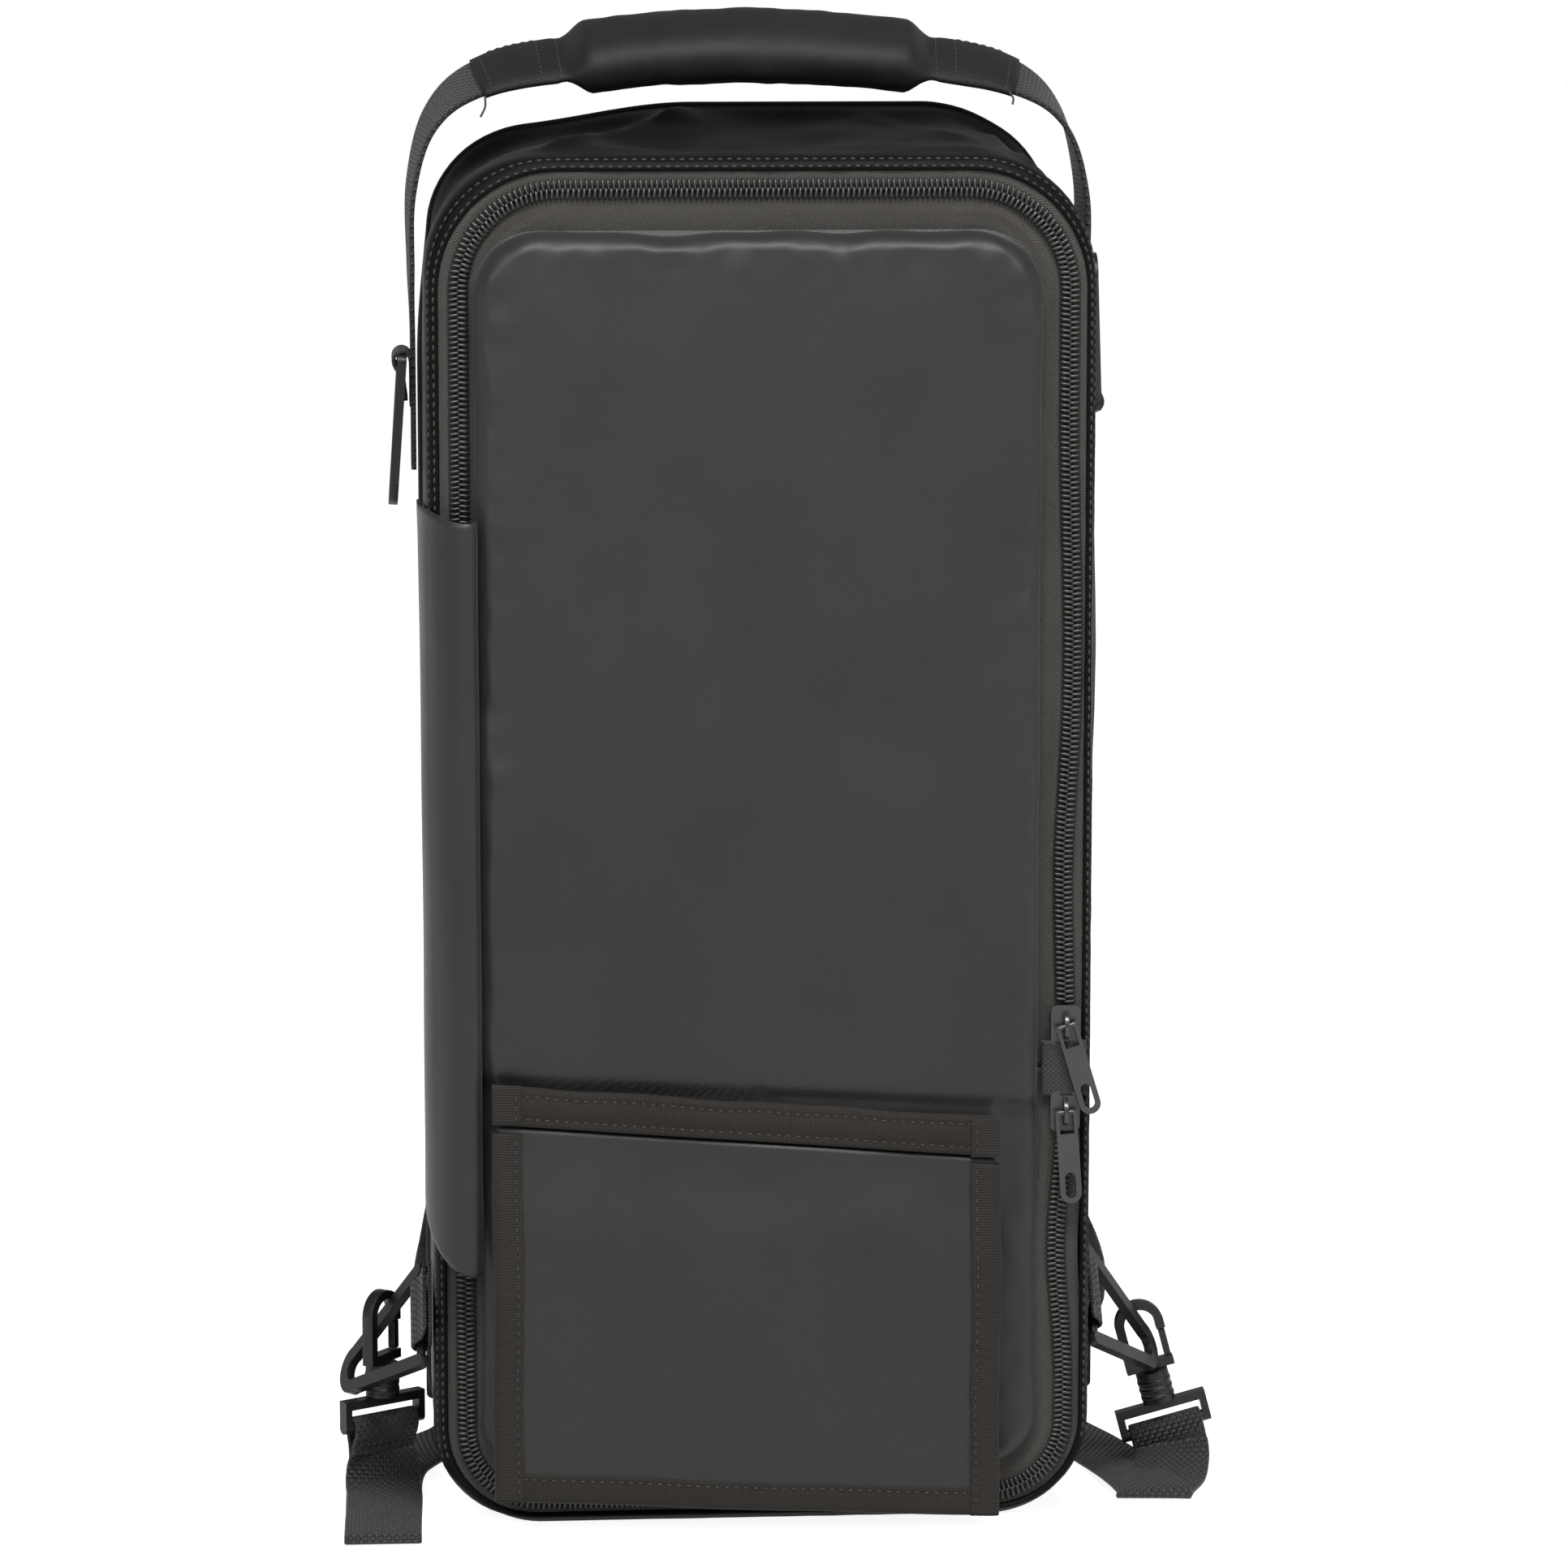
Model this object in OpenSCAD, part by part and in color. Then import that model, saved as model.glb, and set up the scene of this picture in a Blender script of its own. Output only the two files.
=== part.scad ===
// Backpack-style drum stick bag, standing upright on its base.
// Frame: +X to the bag's right as seen from the front, +Y to the back, +Z up.
// The origin is the middle of the base patch's underside.

/* [Body] */
// Width over the side gussets at mid depth
body_w = 214; // [206:1:220]
// Height of the back panel's top edge
back_top = 455.5; // [450:0.5:460]
// Height of the gusset's front edge
front_top = 440.5; // [440:0.5:444]
// Depth from the front plane of the zips to the back lining
back_y = 38; // [34:1:42]
// Thickness of the gusset fabric with its lining
wall = 2; // [1.5:0.1:2.5]
// Thickness of the foam in the back panel
back_foam_t = 6; // [4:0.5:8]

/* [Cover] */
// Left edge of the front cover
cover_x0 = -91; // [-92:0.5:-88]
// Right edge of the front cover
cover_x1 = 89.5; // [86:0.5:90]
// Bottom edge of the front cover
cover_z0 = 18; // [15:1:20]
// Top edge of the front cover
cover_z1 = 420; // [418:1:422]
// Height where the thick upper padding ends
step_z = 148; // [146:1:152]
// Thickness of the thick upper padding
pad_t = 12; // [10:0.5:12]
// Thickness of the thin lower padding
low_pad_t = 5; // [4:0.5:5]

/* [Zips] */
// Gap between the two halves of a coil
coil_gap = 0.3; // [0.2:0.05:0.4]
// Width of one coil half
coil_w = 3.35; // [3:0.05:3.5]
// Thickness of the coil
coil_t = 2.6; // [2.4:0.1:2.6]
// Thickness of the zip tape
tape_t = 0.8; // [0.6:0.1:0.8]
// Length of a zip pull from its cross bar to its end
pull_l = 30; // [26:1:32]

/* [Flap] */
// Length of the accessory flap below its hinge line on the left
flap_l = 123; // [118:1:124]
// Width of the grosgrain binding
binding_w = 9.5; // [8:0.5:11]

/* [Handle] */
// Width of the carry webbing
web_w = 25; // [20:1:26]
// Thickness of the carry webbing
web_t = 1.6; // [1.2:0.1:1.6]
// Height of the handle's sewn ends, where it folds
handle_z = 352; // [350:1:354]

/* [Hardware] */
// Length of a loop ring from its bar to the middle of its tip
ring_l = 46; // [44:1:48]
// Radius of a ring's straight bar
ring_bar_r = 1.5; // [1.3:0.1:1.6]
// Radius inside a snap hook's crook
crook_r = 5.2; // [5:0.1:5.4]
// Thickness of a snap hook's body
hook_t = 4; // [3.5:0.1:4.2]

/* [Hidden] */
$fn = 48;
satin = [0.2, 0.2, 0.2];
dark = [0.13, 0.13, 0.13];
tape_col = [0.24, 0.23, 0.21];
trim_col = [0.2, 0.18, 0.16];
plastic = [0.1, 0.1, 0.1];
foam_col = [0.35, 0.35, 0.36];

half_w = body_w / 2;
fabric = 1;
patch_t = 1.5;
// Zip chain line: the centre between the two coil halves
zip_x0 = -95.5;
zip_x1 = 98.5;
zip_z0 = 8;
zip_z1 = 433;
zip_rt = 32;
zip_rb = 24;
tape_y1 = -42.9;
tape_y0 = tape_y1 - tape_t;
coil_y0 = tape_y0 - coil_t;
tape_edge = 1.9;
body_tape_w = 7;
cover_tape_w = 17;
// Heights where the zips begin and end
left_upper_z = 326;
left_lower_z = 82;
patch_z0 = 142;
patch_z1 = 157;
slider_l = 13;
upper_chain_z = patch_z1 + slider_l + 0.5;
lower_chain_z = patch_z0 - slider_l - 0.5;
// Cover stack, back to front
lining_y1 = tape_y0;
lining_y0 = lining_y1 - 1.3;
pad_y0 = lining_y0 - pad_t;
low_y0 = lining_y0 - low_pad_t;
cover_rt = 20;
cover_rb = 18;
// Accessory flap, drawn as corners [x, z] and a slanting hinge line
flap_y1 = pad_y0 - 0.9;
flap_y0 = flap_y1 - 2.4;
flap_xl = -87;
flap_xr = 76;
flap_top_l = 149;
flap_top_r = 136;
strip_h = 13;
flap_gap = 0.4;
flap_hinge_l = flap_top_l - strip_h;
flap_hinge_r = flap_top_r - strip_h;
// Handle
handle_y = 20;
leg_x = half_w + 2;
grip_z = 476;
// Loop rings
tab_r = 3.2;
ring_half = 17;
ring_side_w = 4.5;
ring_t = 3;
tip_r = 6;
// Snap hooks, measured down from the crook's centre
crook_w = 3;
eye_drop = 13;
barrel_top = 16.4;
barrel_len = 11;
barrel_r = 5.5;
frame_top = 27.4;
bar_drop = 36.5;
frame_half = 15.5;
frame_side = 2.4;
hook_bar_r = 2;

// ---------- shared shapes ----------

// Rectangle with round corners in the X-Z plane
module round_rect(x0, x1, z0, z1, rt, rb) {
  polygon(outline(x0, x1, z0, z1, rt, rb));
}

// A flat outline in X-Z given depth from y0 to y1
module slab(y0, y1) {
  translate([0, y1, 0]) rotate([90, 0, 0]) linear_extrude(height = y1 - y0) children();
}

// A straight bar between two points of a plane, with round ends
module bar_2d(p, q, w) {
  d = q - p;
  translate(p) rotate(atan2(d[1], d[0])) translate([0, -w / 2]) square([norm(d), w]);
  translate(p) circle(d = w);
  translate(q) circle(d = w);
}

// Points of a rounded rectangle in X-Z, corner by corner
function corner(cx, cz, r, a0, steps) =
  [for (i = [0:steps]) [cx + r * cos(a0 + 90 * i / steps), cz + r * sin(a0 + 90 * i / steps)]];
function outline(x0, x1, z0, z1, rt, rb, steps = 9) = concat(
  corner(x1 - rt, z1 - rt, rt, 0, steps),
  corner(x0 + rt, z1 - rt, rt, 90, steps),
  corner(x0 + rb, z0 + rb, rb, 180, steps),
  corner(x1 - rb, z0 + rb, rb, 270, steps));

// Smooth curve through hand-set points, k steps from each to the next
function blend4(a, b, c, d, t) = 0.5 * (2 * b + (c - a) * t + (2 * a - 5 * b + 4 * c - d) * t * t
  + (3 * b - a - 3 * c + d) * t * t * t);
function smooth_path(p, k) = let (n = len(p) - 1) concat(
  [for (i = [0:n - 1], j = [0:k - 1])
    blend4(p[max(i - 1, 0)], p[i], p[i + 1], p[min(i + 2, n)], j / k)],
  [p[n]]);
function unit(v) = v / norm(v);

// Flat strap. Each stop is [x, y, z, width, ax, ay, az]: a point, the width there and the
// direction across the strap. trim is taken off all round, and each end moves in by ends.
module strap(stops, t, k = 4, trim = 0, ends = 0) {
  s = smooth_path(stops, k);
  n = len(s);
  pts = [for (i = [0:n - 1]) let (
      p = [s[i][0], s[i][1], s[i][2]],
      ahead = s[min(i + 1, n - 1)],
      behind = s[max(i - 1, 0)],
      along = unit([ahead[0] - behind[0], ahead[1] - behind[1], ahead[2] - behind[2]]),
      up = unit(cross(along, unit([s[i][4], s[i][5], s[i][6]]))),
      across = unit(cross(up, along)),
      shift = i == 0 ? ends : i == n - 1 ? -ends : 0,
      a = across * (s[i][3] / 2 - trim),
      b = up * (t / 2 - trim),
      c = p + along * shift)
    each [c - a - b, c + a - b, c + a + b, c - a + b]];
  faces = concat(
    [[0, 1, 2, 3]],
    [for (i = [0:n - 2], j = [0:3]) let (q = 4 * i, r = (j + 1) % 4)
      each [[q + j, q + 4 + j, q + 4 + r], [q + j, q + 4 + r, q + r]]],
    [[4 * n - 1, 4 * n - 2, 4 * n - 3, 4 * n - 4]]);
  polyhedron(points = pts, faces = faces, convexity = 8);
}

// ---------- body ----------

// Gusset outline stations: [y, x0, x1, z0, z1, top radius, bottom radius]
gusset_stations = [
  [tape_y1, -103, 105.5, 1.5, front_top, 39, 30],
  [-26, -half_w, half_w, patch_t, 444, 38, 30],
  [24, -half_w, half_w, patch_t, 450, 34, 30],
  [back_y, 0.5 - half_w, half_w - 0.5, 2, back_top, 30, 28]];

// Ring of fabric running round the sides, hood and bottom
module gusset_wall() {
  color(dark) {
    steps = 6;
    per = 4 * (steps + 1);
    n = len(gusset_stations);
    pts = [for (s = gusset_stations, inner = [0, 1]) let (w = inner * wall)
      each [for (q = outline(s[1] + w, s[2] - w, s[3] + w, s[4] - w, s[5] - w, s[6] - w, steps))
        [q[0], s[0], q[1]]]];
    faces = concat(
      [for (i = [0:n - 2], j = [0:per - 1]) let (k = (j + 1) % per, a = 2 * per * i, b = a + 2 * per)
        each [[a + j, b + k, a + k], [a + j, b + j, b + k]]],
      [for (i = [0:n - 2], j = [0:per - 1]) let (k = (j + 1) % per, a = 2 * per * i + per, b = a + 2 * per)
        each [[a + j, a + k, b + k], [a + j, b + k, b + j]]],
      [for (j = [0:per - 1]) let (k = (j + 1) % per) each [[j, k, per + k], [j, per + k, per + j]]],
      [for (j = [0:per - 1]) let (k = (j + 1) % per, a = 2 * per * (n - 1))
        each [[a + j, a + per + k, a + k], [a + j, a + per + j, a + per + k]]]);
    polyhedron(points = pts, faces = faces, convexity = 6);
  }
}

back_x = half_w - 0.5;
back_z0 = 4;
piping_r = 1.4;

module back_outline(grow) {
  round_rect(-back_x - grow, back_x + grow, back_z0 - grow, back_top + grow, 30 + grow, 26 + grow);
}
module back_lining() {
  color(tape_col) slab(back_y, back_y + fabric) back_outline(0);
}
module back_foam() {
  color(foam_col) slab(back_y + fabric, back_y + fabric + back_foam_t) back_outline(0);
}
module back_outer() {
  color(satin) slab(back_y + fabric + back_foam_t, back_y + 2 * fabric + back_foam_t) back_outline(0);
}
module back_piping() {
  color(trim_col) slab(back_y + fabric, back_y + fabric + 4) difference() {
    back_outline(piping_r);
    back_outline(0);
  }
}

// Wear patch under the base; its underside is the face the bag stands on
module base_patch() {
  color(trim_col) translate([-75, -26, 0]) cube([150, 50, patch_t]);
}

// Stiff board inside the bottom
module base_board() {
  color(foam_col) translate([-75, -26, patch_t + wall]) cube([150, 50, 2]);
}

// Fabric hinge between the gusset and the cover's left edge
module hinge_strip() {
  color(satin) translate([0, 0, left_lower_z]) linear_extrude(height = left_upper_z - left_lower_z)
    polygon([
      [-103, tape_y1], [-103, -50], [-100.5, -54.4], [-94.4, -56.4],
      [-94.4, -55.2], [-99.9, -53.3], [-101.8, -49.6], [-101.8, tape_y1]]);
}

// Square of tape between the two zips
module zip_patch() {
  color(tape_col) translate([92, tape_y0 - 1.8, patch_z0]) cube([13.5, tape_t + 1.8, patch_z1 - patch_z0]);
}

// ---------- zips ----------

// Outline that runs parallel to the chain line, g outside it
module chain_outline(g) {
  round_rect(zip_x0 - g, zip_x1 + g, zip_z0 - g, zip_z1 + g, zip_rt + g, zip_rb + g);
}
// Part of the chain line that each zip takes; right_z is where it ends on the right
module upper_span(right_z) {
  polygon([[-200, left_upper_z], [0, left_upper_z], [0, right_z], [200, right_z], [200, 500], [-200, 500]]);
}
module lower_span(right_z) {
  polygon([[-200, left_lower_z], [0, left_lower_z], [0, right_z], [200, right_z], [200, -20], [-200, -20]]);
}
module chain_band(inner, outer) {
  difference() {
    chain_outline(outer);
    chain_outline(inner);
  }
}
module upper_band(inner, outer, right_z) {
  intersection() {
    chain_band(inner, outer);
    upper_span(right_z);
  }
}
module lower_band(inner, outer, right_z) {
  intersection() {
    chain_band(inner, outer);
    lower_span(right_z);
  }
}
module upper_tape_body() {
  color(tape_col) slab(tape_y0, tape_y1) upper_band(tape_edge, body_tape_w, patch_z1);
}
module lower_tape_body() {
  color(tape_col) slab(tape_y0, tape_y1) lower_band(tape_edge, body_tape_w, patch_z0);
}
module upper_tape_cover() {
  color(tape_col) slab(tape_y0, tape_y1) upper_band(-cover_tape_w, -tape_edge, upper_chain_z);
}
module lower_tape_cover() {
  color(tape_col) slab(tape_y0, tape_y1) lower_band(-cover_tape_w, -tape_edge, lower_chain_z);
}
module upper_coil_body() {
  color(plastic) slab(coil_y0, tape_y0) upper_band(coil_gap / 2, coil_gap / 2 + coil_w, upper_chain_z);
}
module lower_coil_body() {
  color(plastic) slab(coil_y0, tape_y0) lower_band(coil_gap / 2, coil_gap / 2 + coil_w, lower_chain_z);
}
module upper_coil_cover() {
  color(plastic) slab(coil_y0, tape_y0) upper_band(-coil_gap / 2 - coil_w, -coil_gap / 2, upper_chain_z);
}
module lower_coil_cover() {
  color(plastic) slab(coil_y0, tape_y0) lower_band(-coil_gap / 2 - coil_w, -coil_gap / 2, lower_chain_z);
}

// Slider, drawn round its middle: two plates joined by a post at its leading end, and an arch for
// the pull. lead is -1 where the post is at the lower end and 1 where it is at the upper end.
slider_half = 4.8;
plate_t = 1.2;
arch_ro = 4.6;
arch_ri = 3.5;
arch_half = 0.7;
slider_play = 0.1;
module slider(lead) {
  front = coil_y0 - slider_play;
  back = tape_y1 + slider_play;
  slab(front - plate_t, front) round_rect(-slider_half, slider_half, -slider_l / 2, slider_l / 2, 2, 2);
  slab(back, back + plate_t) round_rect(-slider_half, slider_half, -slider_l / 2, slider_l / 2, 2, 2);
  for (side = [-1, 1])
    translate([side * (slider_half - 0.5) - 0.5, front, -slider_l / 2 + 2]) cube([1, coil_t - 0.1, slider_l - 4]);
  translate([-1.7, front, lead * (slider_l / 2 - 1.2) - 1.2]) cube([3.4, back - front, 2.4]);
  translate([-arch_half, front - plate_t, 0]) rotate([0, 90, 0]) difference() {
    cylinder(r = arch_ro, h = 2 * arch_half);
    translate([0, 0, -1]) cylinder(r = arch_ri, h = 2 * arch_half + 2);
    translate([-arch_ro - 1, 0, -1]) cube([2 * arch_ro + 2, arch_ro + 1, 2 * arch_half + 2]);
  }
}
upper_slider_z = patch_z1 + slider_l / 2 + 0.2;
lower_slider_z = patch_z0 - slider_l / 2 - 0.2;
pull_y = coil_y0 - slider_play - plate_t - 2;
module upper_slider() {
  color(plastic) translate([zip_x1, 0, upper_slider_z]) slider(-1);
}
module lower_slider() {
  color(plastic) translate([zip_x1, 0, lower_slider_z]) slider(1);
}

// Pull, drawn hanging from its cross bar at the origin
pull_half = 3.5;
pull_t = 1.4;
bar_r = 0.9;
module pull() {
  slab(-pull_t / 2, pull_t / 2) difference() {
    union() {
      translate([-pull_half, -pull_l + pull_half]) square([2 * pull_half, pull_l - pull_half + bar_r]);
      translate([0, -pull_l + pull_half]) circle(r = pull_half);
    }
    translate([-2.3, -7]) square([4.6, 7 + 2 * bar_r]);
    bar_2d([0, -pull_l + pull_half], [0, -pull_l + pull_half + 5], 3.4);
  }
  translate([-2.6, 0, 0]) rotate([0, 90, 0]) cylinder(r = bar_r, h = 5.2);
}
upper_pull_tilt = 17;
lower_pull_tilt = 4;
module upper_pull() {
  color(plastic) translate([zip_x1, pull_y, upper_slider_z]) rotate([0, -upper_pull_tilt, 0]) pull();
}
module lower_pull() {
  color(plastic) translate([zip_x1, pull_y, lower_slider_z]) rotate([0, -lower_pull_tilt, 0]) pull();
}

// ---------- inside ----------

sleeve_y = 24;
sleeve_x = 94;
sleeve_z0 = 14;
sleeve_z1 = 300;
sleeves = 4;
// Row of sleeves for sticks, sewn to the back lining
module stick_pocket() {
  color(dark) {
    translate([-sleeve_x, sleeve_y, sleeve_z0]) cube([2 * sleeve_x, fabric, sleeve_z1 - sleeve_z0]);
    translate([-sleeve_x, sleeve_y, sleeve_z0]) cube([2 * sleeve_x, back_y - sleeve_y, fabric]);
    for (i = [0:sleeves])
      translate([-sleeve_x + i * (2 * sleeve_x - fabric) / sleeves, sleeve_y, sleeve_z0])
        cube([fabric, back_y - sleeve_y, sleeve_z1 - sleeve_z0]);
  }
}
module stick_pocket_binding() {
  color(trim_col) translate([-sleeve_x, sleeve_y - 0.5, sleeve_z1]) cube([2 * sleeve_x, 2, 8]);
}

// ---------- cover ----------

module cover_band(inset, z_from, z_to) {
  intersection() {
    round_rect(cover_x0 + inset, cover_x1 - inset, cover_z0 + inset, cover_z1 - inset,
      cover_rt - inset, cover_rb - inset);
    translate([-150, z_from]) square([300, z_to - z_from]);
  }
}
// Face fabric over both paddings, open at the back
module cover_outer() {
  color(satin) difference() {
    union() {
      slab(pad_y0, lining_y0) cover_band(0, step_z, 500);
      slab(low_y0, lining_y0) cover_band(0, 0, step_z);
    }
    slab(pad_y0 + fabric, lining_y0 + 1) cover_band(fabric, step_z + fabric, 500);
    slab(low_y0 + fabric, lining_y0 + 1) cover_band(fabric, 0, step_z + fabric + 0.1);
  }
}
module cover_foam() {
  color(foam_col) {
    slab(pad_y0 + fabric, lining_y0) cover_band(fabric, step_z + fabric, 500);
    slab(low_y0 + fabric, lining_y0) cover_band(fabric, 0, step_z + fabric);
  }
}
module cover_lining() {
  color(tape_col) slab(lining_y0, lining_y1) cover_band(0, 0, 500);
}

// Pocket on the front of the thin padding, open at its top, under the flap
pocket_x0 = -82;
pocket_x1 = 70;
pocket_z0 = 24;
pocket_z1 = 122;
pocket_y0 = pad_y0 + 0.9;
module accessory_pocket() {
  color(satin) {
    translate([pocket_x0, pocket_y0, pocket_z0]) cube([pocket_x1 - pocket_x0, fabric, pocket_z1 - pocket_z0]);
    translate([pocket_x0, pocket_y0, pocket_z0]) cube([pocket_x1 - pocket_x0, low_y0 - pocket_y0, fabric]);
    for (x = [pocket_x0, pocket_x1 - fabric])
      translate([x, pocket_y0, pocket_z0]) cube([fabric, low_y0 - pocket_y0, pocket_z1 - pocket_z0]);
  }
}
tape_x0 = -56;
tape_x1 = 44;
module pocket_loop_tape() {
  color(dark) translate([tape_x0, pocket_y0 - 0.9, 34]) cube([tape_x1 - tape_x0, 0.9, 25]);
}

// Bound strip that sews the flap to the cover
module flap_top_binding() {
  color(trim_col) slab(flap_y0, pad_y0) polygon([
    [flap_xl, flap_hinge_l + flap_gap], [flap_xr, flap_hinge_r + flap_gap],
    [flap_xr, flap_top_r], [flap_xl, flap_top_l]]);
}

inner_y0 = tape_y1 + 5.6;
// Flat pocket on the inside of the cover, open at its top
module inner_pocket() {
  color(dark) {
    translate([-70, inner_y0, 40]) cube([140, 0.8, 200]);
    translate([-70, lining_y1, 40]) cube([140, inner_y0 - lining_y1, 1]);
    for (x = [-70, 69]) translate([x, lining_y1, 40]) cube([1, inner_y0 - lining_y1, 200]);
  }
}
module inner_pocket_binding() {
  color(trim_col) translate([-70, inner_y0 - 0.4, 240]) cube([140, 1.6, 8]);
}

// ---------- flap ----------

flap_bottom_l = flap_hinge_l - flap_l;
flap_bottom_r = flap_bottom_l - 8.5;
// Height of the slanting hinge line at x
function hinge_at(x) = flap_hinge_l + (flap_hinge_r - flap_hinge_l) * (x - flap_xl) / (flap_xr - flap_xl);
// Four-sided flap outline, pulled in by g at the sides and bottom
module flap_outline(g) {
  polygon([
    [flap_xl + g, hinge_at(flap_xl + g)], [flap_xr - g, hinge_at(flap_xr - g)],
    [flap_xr - g, flap_bottom_r + g], [flap_xl + g, flap_bottom_l + g]]);
}
module flap_panel() {
  color(satin) slab(flap_y0 + 0.4, flap_y1) flap_outline(binding_w);
}
module flap_edge_binding() {
  color(trim_col) slab(flap_y0, flap_y1) difference() {
    flap_outline(0);
    flap_outline(binding_w);
  }
}
module flap_hook_tape() {
  color(dark) translate([tape_x0, flap_y1, 34]) cube([tape_x1 - tape_x0, 0.6, 25]);
}

// ---------- carry handle ----------

// Half of the handle's route, from a sewn end to the middle of the grip; side is -1 or 1
function handle_half(side, w) = [
  [side * leg_x, handle_y, handle_z, w, 0, 1, 0],
  [side * leg_x, handle_y, 400, w, 0, 1, 0],
  [side * leg_x, handle_y, 430, w, 0, 1, 0],
  [side * 103, handle_y, 452, w, 0, 1, 0],
  [side * 88, handle_y, grip_z - 11, w, 0, 1, 0],
  [side * 60, handle_y, grip_z - 4.6, w, 0, 1, 0]];
function handle_route(w) = concat(
  handle_half(-1, w), [[0, handle_y, grip_z, w, 0, 1, 0]],
  [for (i = [5:-1:0]) handle_half(1, w)[i]]);
module handle_webbing() {
  color(dark) {
    strap(handle_route(web_w), web_t);
    for (side = [-1, 1])
      translate([side * leg_x - web_t / 2, handle_y, handle_z]) rotate([0, 90, 0])
        cylinder(d = web_w, h = web_t);
  }
}
grip_stops = [
  [-57, handle_y, grip_z - 4.2, 1, 0, 1, 0], [-30, handle_y, grip_z - 1.2, 1, 0, 1, 0],
  [0, handle_y, grip_z, 1, 0, 1, 0],
  [30, handle_y, grip_z - 1.2, 1, 0, 1, 0], [57, handle_y, grip_z - 4.2, 1, 0, 1, 0]];
function grip(w) = [for (s = grip_stops) [s[0], s[1], s[2], w, 0, 1, 0]];
// Foam tube slit round the webbing
module handle_foam() {
  color(foam_col) difference() {
    strap(grip(30), 15);
    strap(handle_route(web_w + 0.6), web_t + 0.6);
  }
}
// Fabric wrapped round the foam
module handle_wrap() {
  color(satin) difference() {
    strap(grip(32), 17);
    strap(grip(30), 15);
    strap(handle_route(web_w + 0.6), web_t + 0.6);
  }
}

// Folded webbing loop for a ring bar, drawn round the bar's axis (local Y); the flat sewn
// tail runs down from it on the plane x = -tab_r
tab_w = 24;
tab_bore_r = 2;
module tab(tail) {
  rotate([90, 0, 0]) translate([0, 0, -tab_w / 2]) difference() {
    cylinder(r = tab_r, h = tab_w);
    translate([0, 0, -1]) cylinder(r = tab_bore_r, h = tab_w + 2);
  }
  translate([-tab_r, -tab_w / 2, -tail]) cube([tab_r - tab_bore_r, tab_w, tail]);
}

// Rounded triangular ring, drawn hanging down from its bar, which lies along local Y
module ring() {
  tip = [0, -ring_l + tip_r];
  rotate([90, 0, 90]) linear_extrude(height = ring_t, center = true) {
    bar_2d([-ring_half, 0], [tip[0] - tip_r, tip[1]], ring_side_w);
    bar_2d([ring_half, 0], [tip[0] + tip_r, tip[1]], ring_side_w);
    translate(tip) difference() {
      circle(r = tip_r + ring_side_w / 2);
      circle(r = tip_r - ring_side_w / 2);
      translate([-20, 0]) square([40, 20]);
    }
  }
  translate([0, -ring_half, 0]) rotate([-90, 0, 0]) cylinder(r = ring_bar_r, h = 2 * ring_half);
}

upper_ring_x = leg_x + web_t / 2 + tab_r;
upper_ring_left_z = 375;
upper_ring_right_z = 360;
module upper_tab_left() {
  color(dark) translate([-upper_ring_x, handle_y, upper_ring_left_z]) rotate([0, 0, 180]) tab(14);
}
module upper_tab_right() {
  color(dark) translate([upper_ring_x, handle_y, upper_ring_right_z]) mirror([0, 0, 1]) tab(14);
}
upper_ring_tilt = 4;
module upper_ring_left() {
  color(plastic) translate([-upper_ring_x, handle_y, upper_ring_left_z]) rotate([0, upper_ring_tilt, 0]) ring();
}
module upper_ring_right() {
  color(plastic) translate([upper_ring_x, handle_y, upper_ring_right_z]) rotate([0, 180, 0]) ring();
}

// Lower rings sit on slanting tabs on the side gussets
lower_ring_x = half_w + tab_r;
lower_left_y = -28;
lower_right_y = -22;
lower_left_z = 66;
lower_right_z = 68;
ring_slant = 45;
ring_swing = 32;
module lower_tab_left() {
  color(dark) translate([-lower_ring_x, lower_left_y, lower_left_z]) rotate([ring_slant, 0, 0])
    rotate([0, 180, 0]) tab(16);
}
module lower_tab_right() {
  color(dark) translate([lower_ring_x, lower_right_y, lower_right_z]) rotate([ring_slant, 0, 0])
    mirror([0, 0, 1]) tab(16);
}
module lower_ring_left() {
  color(plastic) translate([-lower_ring_x, lower_left_y, lower_left_z]) rotate([ring_slant, 0, 0])
    rotate([0, ring_swing, 0]) ring();
}
module lower_ring_right() {
  color(plastic) translate([lower_ring_x, lower_right_y, lower_right_z]) rotate([ring_slant, 0, 0])
    rotate([0, -ring_swing, 0]) ring();
}

// ---------- snap hooks ----------

// Hook body, drawn hanging: crook centred on the origin, in the local X-Z plane
module hook() {
  ro = crook_r + crook_w;
  slab(-hook_t / 2, hook_t / 2) {
    difference() {
      circle(r = ro);
      circle(r = crook_r);
      translate([-ro - 1, -ro - 1]) square([2 * ro + 2, ro + 1]);
    }
    translate([-ro, -barrel_top + 0.4]) square([crook_w, barrel_top - 0.4]);
    translate([-ro, -barrel_top + 0.4]) square([2 * ro, barrel_top - 0.4 - eye_drop]);
    translate([crook_r, -3]) square([crook_w, 3]);
  }
  translate([0, 0, -frame_top + 4]) cylinder(r = 2.2, h = frame_top - barrel_top - 3.2);
  translate([0, 0, -frame_top + 1.2]) cylinder(r = 3.4, h = 2.8);
}

// Sprung tongue that closes the crook, hinged at its lower end
gate_len = 9.4;
module gate() {
  ro = crook_r + crook_w;
  slab(-1.4, 1.4) translate([crook_r + 0.4, -eye_drop + 0.3]) square([ro - crook_r - 0.8, gate_len]);
}

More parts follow.
